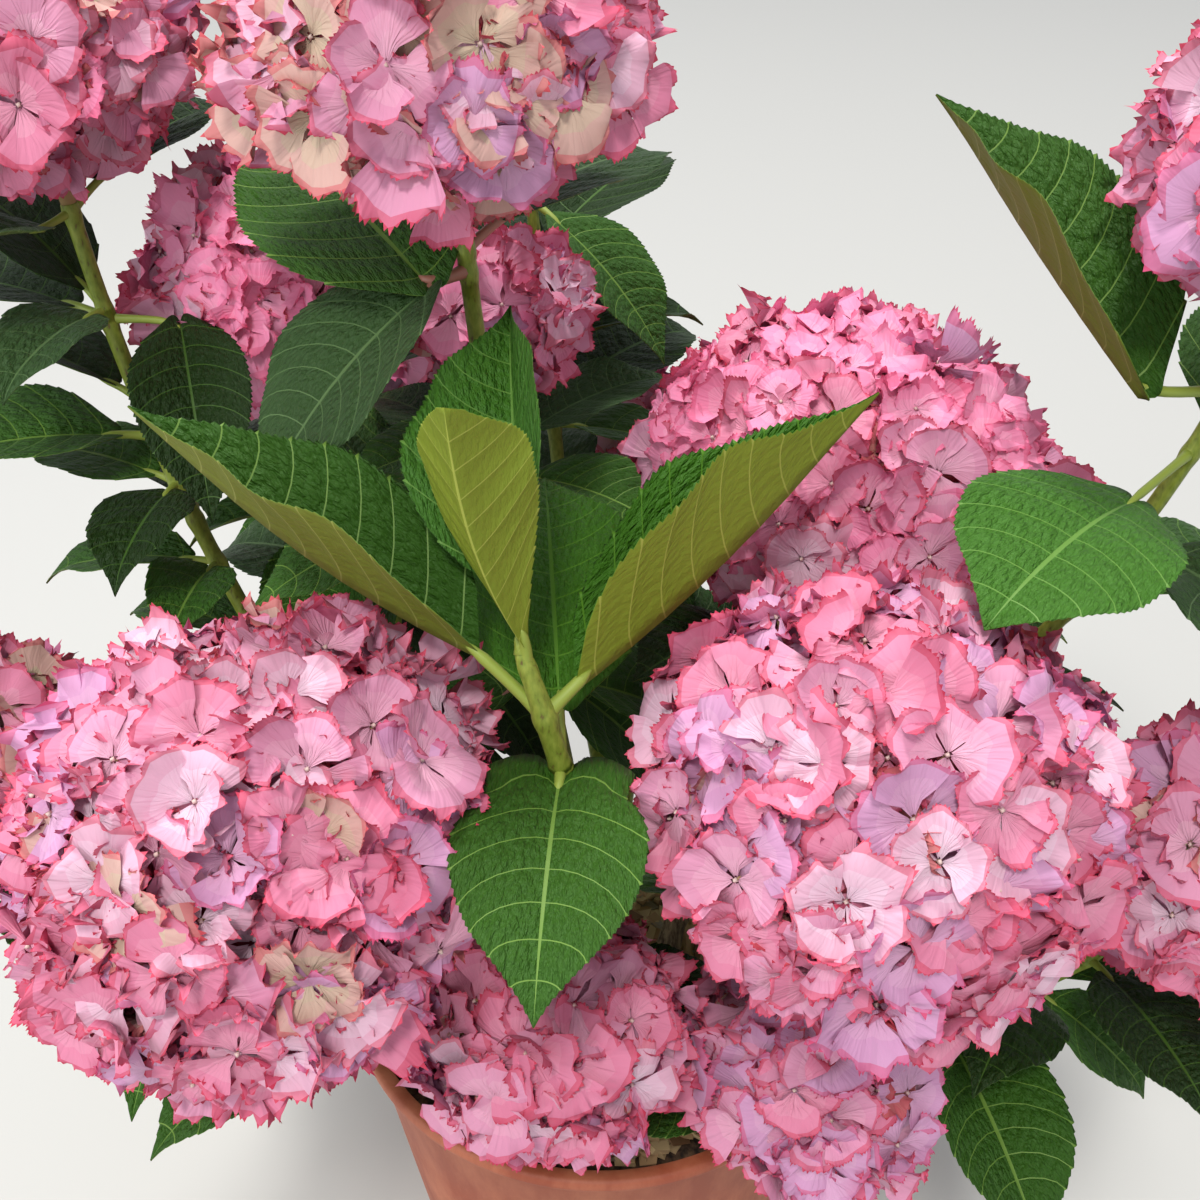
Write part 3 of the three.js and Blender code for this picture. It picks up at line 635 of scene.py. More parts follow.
def blade(one, s, side, relief=0.0, half=None):
    """Points of a blade and their normals: s runs along the midrib, side from -1 to 1 across it."""
    length, bow = one["length"], one.get("arch", LEAF_ARCH) * 4
    along = compass(one["heading"], one["rise"])
    heading, roll = math.radians(one["heading"]), math.radians(one.get("roll", 0))
    fold = math.radians(one.get("fold", LEAF_FOLD))
    across = np.array([math.sin(heading), -math.cos(heading), 0])
    lift = np.cross(across, along)
    s, side = np.broadcast_arrays(np.asarray(s, float), np.asarray(side, float))
    rib = blade_base(one) + along * (length * s)[..., None] + lift * (length * bow * s * (1 - s))[..., None]
    tangent = along + lift * (bow * (1 - 2 * s))[..., None]
    tangent /= np.linalg.norm(tangent, axis=-1, keepdims=True)
    up = np.cross(across, tangent)
    wing = across * math.cos(roll) + up * math.sin(roll)
    normal = up * math.cos(roll) - across * math.sin(roll)
    if half is None:
        half = 0.5 * one.get("width", LEAF_WIDTH) * length * leaf_outline(one, s)
    out = wing * (side * half * math.cos(fold))[..., None]
    return rib + out + normal * (np.abs(side) * half * math.sin(fold) + relief)[..., None], normal


def blade_samples(one):
    along, across = [0.12, 0.26, 0.4, 0.55, 0.7, 0.85, 1], [-1, -0.5, 0, 0.5, 1]
    s, side = np.meshgrid(along, across, indexing="ij")
    return blade(one, s.ravel(), side.ravel())[0]


def inside_bloom(points, bloom, room):
    offset = points - np.array(bloom["at"])
    along = offset @ bloom_axis(bloom)
    across = np.sqrt(np.maximum(0, (offset ** 2).sum(axis=1) - along ** 2))
    height = bloom["radius"] * np.where(along > 0, DOME_TOP, DOME_UNDER) + room
    return (across / (bloom["radius"] + room)) ** 2 + (along / height) ** 2 < 1


def distances(points, others):
    """From each of the points to the nearest of the others."""
    return np.sqrt(((points[:, None] - others[None]) ** 2).sum(axis=2)).min(axis=1)


def has_room(points, owner):
    """Whether a leaf at these points is clear of the pot, the heads, the stems and all other leaves."""
    low = points[:, 2] < POT_HEIGHT * 1000 + ROOM_POT
    over_pot = np.hypot(points[:, 0], points[:, 1]) < POT_TOP_RADIUS * 1000 + 2 * ROOM_POT
    if (low & over_pot).any():
        return False
    if any(inside_bloom(points, shoot["bloom"], ROOM_BLOOM).any() for shoot in shoots if "bloom" in shoot):
        return False
    for name, stem in stems:
        room = ROOM_STEM * 0.7 if name == owner else ROOM_STEM + SHOOT_FOOT_RADIUS
        if distances(points, stem).min() < room:
            return False
    return all(distances(points, other["samples"]).min() >= ROOM_LEAF for other in placed)


def set_leaf(shoot, wanted, tries):
    """Set a leaf at the first try that has room. One that is listed stays where it is put."""
    curve, by_hand = shoot["curve"], tries is BY_HAND
    if wanted["below"] > curve.length - LEAF_FOOT_CLEAR:
        return
    node = curve.at(1 - wanted["below"] / curve.length)[0]
    for turn, tilt in tries:
        one = dict(wanted, node=node, by_hand=by_hand)
        one["heading"] += turn
        one["rise"] += tilt
        one["samples"] = blade_samples(one)
        if by_hand or has_room(one["samples"], shoot["name"]):
            placed.append(one)
            shoot["leaves"].append(one)
            return


for shoot in shoots:
    shoot["curve"] = shoot_curve(shoot)
    shoot["leaves"] = []
stems = [(None, curve.at(np.linspace(0, 1, 9))) for curve in cane_curves]
stems += [(shoot["name"], shoot["curve"].at(np.linspace(0, 1, 41))) for shoot in shoots]
placed = []
for shoot in shoots:
    for wanted in shoot.get("own", []):
        set_leaf(shoot, wanted, BY_HAND)
for number, shoot in enumerate(shoots):
    rand = seeded(1201 + 97 * number)
    first = shoot.get("first", FIRST_PAIR_BELOW)
    skipped = math.floor((first - FIRST_PAIR_BELOW) / PAIR_SPACING + 0.5)
    for k in range(shoot["pairs"]):
        age = min(k + skipped, len(PAIR_LENGTHS) - 1)
        for face in (0, 180):
            set_leaf(shoot, leaf(
                below=first + k * PAIR_SPACING,
                heading=shoot["turn"] + 90 * k + face + 24 * (next(rand) - 0.5),
                rise=PAIR_RISES[age] + 10 * (next(rand) - 0.5),
                length=PAIR_LENGTHS[age] * (0.9 + 0.2 * next(rand)),
                fold=8 + 14 * next(rand),
                roll=24 * (next(rand) - 0.5),
            ), LEAF_TRIES)

# Young leaves of the side buds fill in round the stems behind the front heads, wherever there is room.
bare = ("centre_leafy", "left_front", "right_front", "low_front", "low_middle", "top", "behind_middle")
for number, shoot in enumerate(shoots):
    if shoot["name"] in bare:
        continue
    rand = seeded(7001 + 97 * number)
    highest = YOUNG_BELOW * (4 if shoot["name"] == "right" else 1)
    for below in np.arange(highest, shoot["curve"].length - YOUNG_FOOT_CLEAR, PAIR_SPACING):
        for quarter in range(4):
            set_leaf(shoot, leaf(
                below=below,
                heading=shoot["turn"] + 45 + 90 * quarter + 30 * (next(rand) - 0.5),
                rise=16 - 0.1 * below + 14 * (next(rand) - 0.5),
                length=60 + 34 * next(rand),
                fold=8 + 14 * next(rand),
                roll=24 * (next(rand) - 0.5),
                veins=4,
                young=True,
            ), LEAF_TRIES)

# The stem swells a little at every joint, where a pair of leaf stalks clasps it, and a leafy
# shoot closes over its last bud.
stem_meshes = []
for number, shoot in enumerate(shoots):
    curve = shoot["curve"]
    joints = sorted({1 - one["below"] / curve.length for one in shoot["leaves"]})
    at_tip = 1 - np.array([36, 28, 20, 14, 9, 5, 2, 0.8]) / curve.length
    at_joints = [joint + np.array([-7, -4, -2, 0, 2, 4, 7]) / curve.length for joint in joints]
    s = np.unique(np.clip(np.concatenate([np.linspace(0, 1, 26), at_tip, *at_joints]), 0, 1))
    radius = shoot.get("radius", SHOOT_FOOT_RADIUS) + (SHOOT_TIP_RADIUS - SHOOT_FOOT_RADIUS) * s
    near_joint = np.max([0 * s] + swellings(curve, s, joints, SHOOT_JOINT_LENGTH, below=1), axis=0)
    radius = radius * (1 + SHOOT_JOINT_SWELLING * near_joint)
    if "bloom" not in shoot:
        closing = np.clip((s - 1) * curve.length / 40 + 1, 0, 1)
        radius = radius * np.sqrt(np.clip(1.002 - closing ** 2, 0, 1))
    stem_meshes.append(tube(curve, radius, 12, s, relief=0.02, phase=number))
young_bark = finish("green_stem", seen(96, 124, 50), 0.5)
tree = young_bark.node_tree
streaks = add(tree, "Group", {
    "Stretch": (1, 1, 0.4), "Scale": 520, "Detail": 2, "Roughness": 0.5,
    "Dark At": 0.37, "Light At": 0.7, "Dark": seen(120, 138, 44), "Light": seen(146, 160, 62),
}, node_tree=mottling).outputs
between_freckles = add(tree, "MapRange", {
    "Value": streaks["Height"], "From Min": 0.27, "From Max": 0.37,
}).outputs["Result"]
freckled = add(tree, "Mix", {
    "Factor": between_freckles, "A": seen(100, 84, 40), "B": streaks["Color"],
}, data_type="RGBA").outputs["Result"]
feed(young_bark, "Base Color", freckled)
emboss(young_bark, streaks["Height"], Distance=0.0004)
stem_piece = joined("green_stems", stem_meshes, [young_bark])

# The leaf stalks are paler than the stem, some flushed red, and widen where they clasp it.
stalk_paints = [
    finish("leaf_stalk_green", seen(146, 164, 66), 0.45),
    finish("leaf_stalk_rosy", seen(166, 112, 92), 0.45),
]
petiole_meshes, petiole_slots = [], []
for shoot in shoots:
    for one in shoot["leaves"]:
        base = blade_base(one)
        along = compass(one["heading"], one["rise"])
        bend = one["node"] + (base - one["node"]) * 0.55
        curve = Bend([one["node"], bend, base - along * 2, base + along * 8])
        s = np.linspace(0, 1, 9)
        radius = (0.9 + 0.012 * one["length"]) * (0.85 + 0.55 * np.exp(-s * curve.length / 6))
        radius = radius * (1 - 0.8 * np.clip((s - 0.8) / 0.2, 0, 1))
        points, faces = tube(curve, radius, 10, s)
        petiole_meshes.append((points, faces))
        petiole_slots.append(np.full(len(faces), shoot["name"] == "top"))
stalk_piece = joined("leaf_stalks", petiole_meshes, stalk_paints, np.concatenate(petiole_slots))


# A leaf is a thin ovate blade with a toothed edge and a drawn-out tip. Its midrib and side veins
# lie in furrows, and the green between them is quilted. The veins stand out pale underneath.
SIDE_VEINS = 8
VEIN_START = 0.05
VEIN_SWEEP = 0.48
VEIN_HALF_WIDTH = 0.002184
TOOTH_LENGTH = 0.011
BLADE_THICKNESS = 0.45
EDGE_THICKNESS = 0.2
VEIN_STANDS_OUT = 0.4
RIB_STANDS_OUT = 1.1
LOBE_LENGTH = 0.13
FINE_SIDES = np.array([0.022, 0.15, 0.32, 0.5, 0.68, 0.84, 0.955, 1.0])
PLAIN_SIDES = np.array([0.03, 0.22, 0.48, 0.74, 0.93, 1.0])
# The rows between two side veins: the place of each, and how far the tooth there stands out.
FINE_ROWS = [(0.23, 0.8), (0.27, 0), (0.48, 0.8), (0.52, 0), (0.73, 0.8), (0.77, 0)]
PLAIN_ROWS = [(0.36, 0.7), (0.41, 0), (0.7, 0.7)]
TOP, UNDERSIDE, VEIN, RIB = range(4)


def blade_rows(fine, step):
    """For each row across a blade its place along the midrib, 1 where it runs in a side vein, and
    how far its tooth stands out."""
    rows = [(0.0, 0, 0.0), (0.02, 0, 0.3)]
    here = VEIN_START
    while here < 0.99:
        rows += [(here - VEIN_HALF_WIDTH, 1, 1.0), (here + VEIN_HALF_WIDTH, 0, 0.0)]
        rows += [(here + part * step, 0, tooth) for part, tooth in (FINE_ROWS if fine else PLAIN_ROWS)]
        here += step
    return np.array([row for row in rows if row[0] < 0.985] + [(1.0, 0, 0.0)]).T


def blade_shape(one, s):
    """The outline of the real blade: fuller than the plain one, and drawn out to a narrow tip."""
    full = leaf_outline(one, s) ** 0.86
    return full * (1 - 0.42 * np.clip((s - 0.7) / 0.25, 0, 1) ** 1.5)


def leaf_mesh(one, fine, number, rand):
    """One blade, closed all round: its points, its faces, the skin's own coordinates, and for each
    face whether it is top, underside, vein or rib."""
    step = 0.94 / (one.get("veins", SIDE_VEINS) + 1)
    along, in_vein, tooth = blade_rows(fine, step)
    sides = FINE_SIDES if fine else PLAIN_SIDES
    side = np.concatenate([-sides[::-1], sides])
    a, v = np.meshgrid(along, side, indexing="ij")
    outward = np.abs(v)
    length, width, heart = one["length"], one.get("width", LEAF_WIDTH), one.get("heart", 0.25)
    sweep = VEIN_SWEEP * width * np.sin(math.pi * a) ** 0.6 * (1 - a)
    s = np.clip(a + sweep * outward ** 1.8, 0, 1)
    shape = np.maximum(blade_shape(one, s), heart * 0.8 * (1 - (s / 0.3) ** 2))
    edge = outward > 0.999
    teeth = tooth[:, None] * TOOTH_LENGTH * length * np.minimum(1, 7 * s * (1 - s) + heart) - 0.4
    half = 0.5 * width * length * shape + 1.5 * (1 - s) + 0.25 + np.where(edge, teeth, 0)
    s = s - heart * LOBE_LENGTH * np.sin(math.pi * outward ** 0.75) * np.exp(-a / 0.08)

    between = (a - VEIN_START) / step % 1
    pillow = np.sin(math.pi * between) ** 0.6 * np.minimum(1, outward * 4) * (1 - outward ** 4) * shape
    phase = rand.uniform(0, math.tau, 3)
    ripple = np.sin(14 * a + phase[0] + 2 * np.sign(v)) * outward ** 2.5 * shape
    twist = np.sin(4 * a + phase[1]) * v * shape
    buckle = np.sin(9 * a + phase[2]) * outward * shape
    furrow = np.exp(-(outward / 0.12) ** 2) * (1 - s)
    twist_height, tip_droop = (0.007, 0.015) if fine else (0.018, 0.06)
    relief = 0.012 * pillow + 0.016 * ripple + twist_height * twist + 0.010 * buckle - 0.007 * furrow
    relief = length * (relief - tip_droop * np.clip((s - 0.75) / 0.25, 0, 1) ** 2)
    top, normal = blade(one, s, v, relief, half)
    veins = np.zeros(a.shape)
    rows_in_vein = np.flatnonzero(in_vein)
    veins[rows_in_vein] = veins[rows_in_vein + 1] = VEIN_STANDS_OUT
    veins[:, np.abs(side) < sides[0] * 1.01] = RIB_STANDS_OUT
    thickness = np.where(edge, EDGE_THICKNESS, BLADE_THICKNESS + veins * (1 - 0.6 * s))
    under = top - normal * thickness[..., None]

    rows, columns = a.shape
    row, column = np.meshgrid(np.arange(rows - 1), np.arange(columns - 1), indexing="ij")
    corner = row * columns + column
    above = np.stack([corner, corner + 1, corner + columns + 1, corner + columns], axis=-1).reshape(-1, 4)
    count = rows * columns
    rim = np.concatenate([
        np.arange(columns), np.arange(1, rows) * columns + columns - 1,
        (rows - 1) * columns + np.arange(columns - 2, -1, -1), np.arange(rows - 2, 0, -1) * columns,
    ])
    after = np.roll(rim, -1)
    band = np.stack([after, rim, rim + count, after + count], axis=1)
    on_vein = (in_vein[:-1, None].astype(bool) | (np.abs(side[:-1] + side[1:]) < 1e-9)[None]).ravel()
    kinds = [np.where(on_vein, VEIN, TOP), np.where(on_vein, RIB, UNDERSIDE), np.full(len(rim), VEIN)]
    skin = np.stack([(a - VEIN_START) / step, v * half, np.full(a.shape, 7.3 * number)], axis=-1)
    points = np.concatenate([top.reshape(-1, 3), under.reshape(-1, 3)]) / 1000
    faces = np.concatenate([above, above[:, ::-1] + count, band])
    return points, faces, np.tile(skin.reshape(-1, 3), (2, 1)), np.concatenate(kinds)


def give_skin(piece, skins):
    """Store the coordinates of the piece's own skin, which its relief is read from."""
    skin = piece.data.attributes.new("skin", "FLOAT_VECTOR", "POINT")
    skin.data.foreach_set("vector", np.concatenate(skins).astype(np.float32).ravel())


# Between the side veins the blade is ribbed by small cross veins. A node group reads them from the
# leaf's own coordinates: side veins along X, and millimetres from the midrib along Y.
quilting, _, result = new_group("leaf_quilting", {}, {"Height": "Float"})
own = add(quilting, "Attribute", {}, attribute_name="skin").outputs["Vector"]
stretched = add(quilting, "Mapping", {"Vector": own, "Scale": (2.6, 0.36, 1.0)}).outputs["Vector"]
wander = add(quilting, "TexNoise", {"Vector": stretched, "Scale": 1.6, "Detail": 1}).outputs["Color"]
shifted = add(quilting, "MixRGB", {
    "Fac": 0.22, "Color1": stretched, "Color2": wander,
}, blend_type="LINEAR_LIGHT").outputs["Color"]
cells = add(quilting, "TexVoronoi", {
    "Vector": shifted, "Scale": 1.0, "Smoothness": 0.35,
}, voronoi_dimensions="2D", feature="SMOOTH_F1").outputs["Distance"]
crinkle = add(quilting, "TexNoise", {"Vector": shifted, "Scale": 3.2, "Detail": 2}).outputs["Fac"]
both = add(quilting, "Math", {0: cells, 1: -1.2, 2: crinkle}, operation="MULTIPLY_ADD").outputs["Value"]
quilting.links.new(both, result["Height"])


def leaf_green(name, colour, roughness, depth=0.0):
    """The paint of one kind of face, quilted to a depth in metres."""
    material = finish(name, colour, roughness)
    material.node_tree.nodes["Principled BSDF"].inputs["Specular IOR Level"].default_value = 0.28
    if depth:
        quilt = add(material.node_tree, "Group", {}, node_tree=quilting)
        emboss(material, quilt.outputs["Height"], Distance=depth)
    return material


# For each tone the colours of top, underside, vein and rib.
leaf_tones = {
    "fresh": [(62, 114, 20), (122, 138, 38), (84, 132, 34), (158, 168, 72)],
    "full": [(52, 94, 22), (110, 124, 38), (104, 138, 56), (142, 152, 74)],
    # The darkest tone is partly the dark green of older leaves, partly painted shade for leaves that lie in
    # shade.
    "deep_and_painted_shade": [(26, 52, 6), (90, 106, 38), (60, 92, 30), (120, 136, 68)],
    # The greyer blue-green tone is partly the leaves' own colour, partly painted reflection of the sky on
    # leaves in shade.
    "cool_and_painted_reflection": [(54, 84, 40), (98, 118, 62), (86, 114, 68), (136, 150, 94)],
    "light": [(66, 116, 34), (118, 136, 52), (100, 142, 62), (150, 164, 86)],
}
greens = []
for tone, (top, under, vein, rib) in leaf_tones.items():
    greens += [
        leaf_green(f"leaf_{tone}_top", seen(*top), 0.52, depth=0.0018),
        leaf_green(f"leaf_{tone}_underside", seen(*under), 0.62, depth=0.0003),
        leaf_green(f"leaf_{tone}_vein", seen(*vein), 0.5),
        leaf_green(f"leaf_{tone}_rib", seen(*rib), 0.58),
    ]
in_front = (
    "centre_leafy", "top", "left_front", "right_front", "right", "right_middle", "left", "left_middle",
)
for group, members, young in [
    ("front", [shoot for shoot in shoots if shoot["name"] in in_front], False),
    ("back", [shoot for shoot in shoots if shoot["name"] not in in_front], False),
    ("young", shoots, True),
]:
    leaf_meshes, skins, leaf_slots = [], [], []
    for shoot in members:
        rand = np.random.RandomState(700 + shoots.index(shoot))
        for one in shoot["leaves"]:
            if one.get("young", False) != young:
                continue
            points, faces, skin, kinds = leaf_mesh(one, one["by_hand"], len(leaf_meshes), rand)
            new_growth = shoot["name"] == "centre_leafy" and one["below"] < 80
            tone = 0 if new_growth else 1 + rand.choice(3, p=[0.45, 0.35, 0.2])
            leaf_meshes.append((points, faces))
            skins.append(skin)
            leaf_slots.append(kinds + 4 * one.get("tone", tone))
    piece = joined(f"leaves_{group}", leaf_meshes, greens, np.concatenate(leaf_slots))
    give_skin(piece, skins)
    if not young:
        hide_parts(*[f"shoot_{shoot['name']}" for shoot in members])


# A flower head is a dome of sterile florets on thin stalks, the outer ones broad and open, with
# smaller crumpled ones between them. A floret has four, at times five, overlapping sepals that
# are ruffled and toothed, pink to lilac, and coral along the edge.
GOLDEN_ANGLE = math.pi * (3 - math.sqrt(5))
FLORET_SPACING = 24.5
FLORETS_PER_SPACE = 11.78
OUTER_SUNK = (9, 18)
INNER_SUNK = (21, 31)
ROOM_FLORET = 9
NEAR_BLOOMS = 1.1
UNDER_SLOPE = 1.35
SEPAL_LENGTH = 23.5
SEPAL_LAP = 0.6
TOOTH = 0.03
BAND_START = 0.86
# The half angle that a sepal fills, in degrees, at places along it.
SEPAL_SPREAD = ([0, 0.08, 0.2, 0.36, 0.52, 0.72, 0.9, 1], [46, 36, 29, 38, 47, 54, 52, 48])
# For each kind the colour round the eye, the one further out, and the one of its toothed edge.
sepal_colours = {
    "rose": [(226, 154, 178), (220, 132, 162), (198, 62, 88)],
    "pink": [(228, 172, 194), (220, 152, 182), (204, 70, 96)],
    "lilac": [(218, 170, 200), (208, 154, 192), (204, 78, 116)],
    "pale": [(232, 204, 220), (226, 176, 198), (210, 76, 100)],
    "cream": [(204, 190, 160), (212, 172, 162), (206, 84, 94)],
    # Coral is partly the colour of the crumpled florets deep in the dome and partly painted shade, the warm
    # red of the shade between florets.
    "coral": [(216, 152, 140), (208, 112, 118), (198, 62, 80)],
    # The last kind is a lighter hot pink: partly the heads' own colour, partly painted light that lifts heads
    # dimmed by shade.
    "hot_pink_and_painted_light": [(250, 180, 208), (248, 152, 190), (226, 100, 138)],
}
# From its eye to its teeth a sepal's faces lie in nine zones. These are their ends along it, and
# how far each zone's colour has gone from the first to the second, and then to that of the edge.
ZONE_ENDS = [0.2, 0.36, 0.52, 0.66, 0.78, 0.87, 0.93]
ZONE_OUTWARD = [0.0, 0.25, 0.5, 0.75, 1.0, 1.0, 1.0, 1.0, 1.0]
ZONE_EDGEWARD = [0.0, 0.0, 0.0, 0.0, 0.0, 0.04, 0.1, 0.48, 0.95]
BAND_ZONE, TOOTH_ZONE = 7, 8
# For each head the share of every kind of floret, in the order of the colours.
bloom_mix = {
    "left_front": (0.22, 0.38, 0.14, 0.22, 0.04, 0, 0),
    "right_front": (0.36, 0.34, 0.22, 0.08, 0, 0, 0),
    # The right middle and left middle heads are mostly of the lighter hot pink kind, partly painted light
    # against the shade on them.
    "right_middle": (0.16, 0.20, 0.02, 0.10, 0, 0, 0.52),
    "low_front": (0.34, 0.40, 0.12, 0.14, 0, 0, 0),
    "low_middle": (0.20, 0.38, 0.32, 0.10, 0, 0, 0),
    "top": (0.20, 0.26, 0.04, 0.26, 0.24, 0, 0),
    "left_middle": (0.04, 0.06, 0, 0.36, 0, 0, 0.54),
}
PLAIN_MIX = (0.32, 0.34, 0.08, 0.16, 0.04, 0, 0.06)
# Deep in the dome the florets are largely coral: partly their own colour, partly painted shade between the
# florets.
INNER_MIX = (0.24, 0.10, 0.02, 0.08, 0.16, 0.40, 0)
RAGGED = {"left_front": 1.4, "top": 1.35}
# The florets in front turn a little from the dome to the side that the light comes from.
LIGHTWARD = np.array([-0.06, -0.54, 0.12])

# Fine pleats run out along each sepal. The node group reads them from the sepal's own coordinates.
pleating, _, result = new_group("sepal_pleats", {}, {"Height": "Float"})
own = add(pleating, "Attribute", {}, attribute_name="skin").outputs["Vector"]
pleats = add(pleating, "TexNoise", {"Vector": own, "Scale": 1.0, "Detail": 1}).outputs["Fac"]
pleating.links.new(pleats, result["Height"])
petal_paints = [finish("floret_eye", seen(220, 196, 186), 0.5)]
for kind, (inner, outer, rim) in sepal_colours.items():
    for zone, (outward, edgeward) in enumerate(zip(ZONE_OUTWARD, ZONE_EDGEWARD)):
        shade = np.array(inner) * (1 - outward) + np.array(outer) * outward
        shade = shade * (1 - edgeward) + np.array(rim) * edgeward
        sepal_paint = finish(f"sepal_{kind}_{zone + 1}", seen(*shade), 0.55)
        sepal_paint.node_tree.nodes["Principled BSDF"].inputs["Specular IOR Level"].default_value = 0.25
        pleated = add(sepal_paint.node_tree, "Group", {}, node_tree=pleating)
        emboss(sepal_paint, pleated.outputs["Height"], Distance=0.0007)
        petal_paints.append(sepal_paint)


def dome_point(outward, scale):
    """Points of the dome from directions of the unit sphere: round above, conical underneath."""
    ring = np.hypot(outward[:, 0], outward[:, 1])
    lower = outward[:, 2] <= 0
    narrow = np.where(lower, ring ** UNDER_SLOPE / np.maximum(ring, 1e-6), 1)
    depth = -DOME_UNDER * np.abs(outward[:, 2]) ** UNDER_SLOPE
    height = np.where(lower, depth, outward[:, 2] * DOME_TOP)
    points = np.stack([outward[:, 0] * narrow, outward[:, 1] * narrow, height], axis=1)
    return points * np.reshape(scale, (-1, 1))


def turn_to(axis):
    """The turn that takes +Z to the axis, as a matrix."""
    cross, cosine = np.array([-axis[1], axis[0], 0]), axis[2]
    skew = np.array([[0, 0, cross[1]], [0, 0, -cross[0]], [-cross[1], cross[0], 0]])
    return np.eye(3) + skew + skew @ skew / (1 + cosine)


def sepal_sheet(columns, split, levels):
    """A sepal laid flat, coarse inside and finer along its rim, which ends in pointed teeth.
    Returns places across and along it, its faces, and a colour zone for each face."""
    coarse, teeth = columns + 1, columns * split
    inner = (len(levels) - 1) * coarse
    tips = inner + teeth + 1
    across = np.concatenate([
        np.tile(np.linspace(-1, 1, coarse), len(levels) - 1),
        np.linspace(-1, 1, teeth + 1),
        np.linspace(-1, 1, 2 * teeth + 1)[1::2],
    ])
    along = np.concatenate([
        np.repeat(levels[:-1], coarse), np.full(teeth + 1, levels[-1]), np.full(teeth, levels[-1] + TOOTH),
    ])
    faces = []
    for row in range(len(levels) - 2):
        for a in range(row * coarse, row * coarse + columns):
            faces.append((a, a + coarse, a + coarse + 1, a + 1))
    for column in range(columns):
        low, high = inner - coarse + column, inner + column * split
        half = (split + 1) // 2
        faces.append((low, high + half, low + 1, low + 1))
        for k in range(split):
            faces.append((low if k < half else low + 1, high + k, high + k + 1, high + k + 1))
    for k in range(teeth):
        faces.append((inner + k, tips + k, inner + k + 1, inner + k + 1))
    faces = np.array(faces)
    zones = np.digitize(along[faces].mean(axis=1), ZONE_ENDS)
    if levels[-2] > BAND_START:
        zones[-teeth - columns * (split + 1):] = BAND_ZONE
    zones[-teeth:] = TOOTH_ZONE
    return across, along, faces, zones


FINE_SHEET = sepal_sheet(7, 3, [0.07, 0.36, 0.64, 0.9, 0.965])
PLAIN_SHEET = sepal_sheet(5, 3, [0.08, 0.45, 0.88, 0.965])
SMALL_SHEET = sepal_sheet(4, 3, [0.1, 0.55, 0.95])


def sepals(across, along, count, rand, ruffle):
    """Sepals that are all different, lying along +X from the eye of their floret, in millimetres."""
    v = across[None] * rand.uniform(0.88, 1.1, (count, 1))
    sway = 0.09 * np.sin(3.1 * v + rand.uniform(0, math.tau, (count, 1)))
    sway = sway + 0.05 * np.sin(7.3 * v + rand.uniform(0, math.tau, (count, 1)))
    u = along[None] + sway * np.clip(4 * along * (0.93 - along), 0, 1)[None]
    length = SEPAL_LENGTH * rand.uniform(0.86, 1.12, (count, 1))
    phase = rand.uniform(0, math.tau, (6, count, 1))
    scallops = 0.08 * np.sin(3.4 * v + phase[0]) + 0.05 * np.sin(8 * v + phase[1])
    rim = 1 - 0.15 * np.abs(v) ** 2.2 + u ** 4 * scallops
    tooth = 1 + (along > 0.98) * 0.03 * np.sin(19 * v + phase[4])
    r = length * u * rim * tooth
    angle = v * np.radians(np.interp(u, *SEPAL_SPREAD))
    waves = np.sin(4.2 * v + phase[2]) + 0.9 * np.sin(8.5 * v + phase[3]) * u
    waves = waves + 1.4 * np.sin(14 * v + phase[4]) * u ** 5
    cup = rand.normal(0.03, 0.17, (count, 1)) * u * u
    roll = rand.normal(-0.02, 0.16, (count, 1)) * v * v * u
    lip = rand.normal(-0.04, 0.16, (count, 1)) * u ** 7
    crease = 0.03 * np.abs(np.sin(2.2 * v + phase[5])) * u
    z = length * (cup + ruffle * 0.066 * u ** 1.8 * waves + roll + lip - crease) + u
    return np.stack([r * np.cos(angle), r * np.sin(angle), z], axis=2)


def rotated(first, second, angle):
    """Both coordinates of points turned by an angle of their own."""
    cosine, sine = np.cos(angle)[:, None], np.sin(angle)[:, None]
    return first * cosine - second * sine, first * sine + second * cosine


def florets(seat, facing, size, ruffle, mix, sheet, rand):
    """The sepals of the florets that sit at these places: points, faces, the slot of each face and
    the skin's coordinates."""
    across, along, faces, zones = sheet
    count = len(seat)
    helper = np.where(np.abs(facing[:, 2:3]) > 0.9, [[1.0, 0, 0]], [[0, 0, 1.0]])
    first = np.cross(helper, facing)
    first /= np.linalg.norm(first, axis=1, keepdims=True)
    second = np.cross(facing, first)
    parts = np.where(rand.uniform(size=count) < 0.1, 5, 4)
    owner = np.repeat(np.arange(count), parts)
    number = np.arange(len(owner))
    turn = np.concatenate([np.arange(p) for p in parts])
    flat = sepals(across, along, len(owner), rand, ruffle[owner][:, None]) * size[owner][:, None, None]
    spin = rand.uniform(0, math.tau, count)[owner] + turn * math.tau / parts[owner]
    spin = spin + rand.normal(0, 0.08, len(owner))
    tilt = rand.normal(0.05, 0.16, count)[owner]
    tilt = tilt + rand.normal(0, 0.13, len(owner)) * np.minimum(ruffle, 1.4)[owner]
    x, z = rotated(flat[..., 0], flat[..., 2], tilt)
    z = z + (turn % 2)[:, None] * SEPAL_LAP
    east, north = rotated(x, flat[..., 1], spin)
    points = seat[owner][:, None] + east[..., None] * first[owner][:, None]
    points = points + north[..., None] * second[owner][:, None] + z[..., None] * facing[owner][:, None]
    kind = rand.choice(len(sepal_colours), count, p=np.array(mix) / sum(mix))[owner]
    slots = 1 + zones[None] + len(ZONE_OUTWARD) * kind[:, None]
    faces = (faces[None] + len(across) * number[:, None, None]).reshape(-1, 4)
    skin = [np.broadcast_to(c, x.shape) for c in (9 * across, 1.6 * along, 5.7 * number[:, None])]
    return points.reshape(-1, 3) / 1000, faces, slots.ravel(), np.stack(skin, axis=-1).reshape(-1, 3)


blade_points = np.concatenate([one["samples"] for one in placed if not one.get("young", False)])


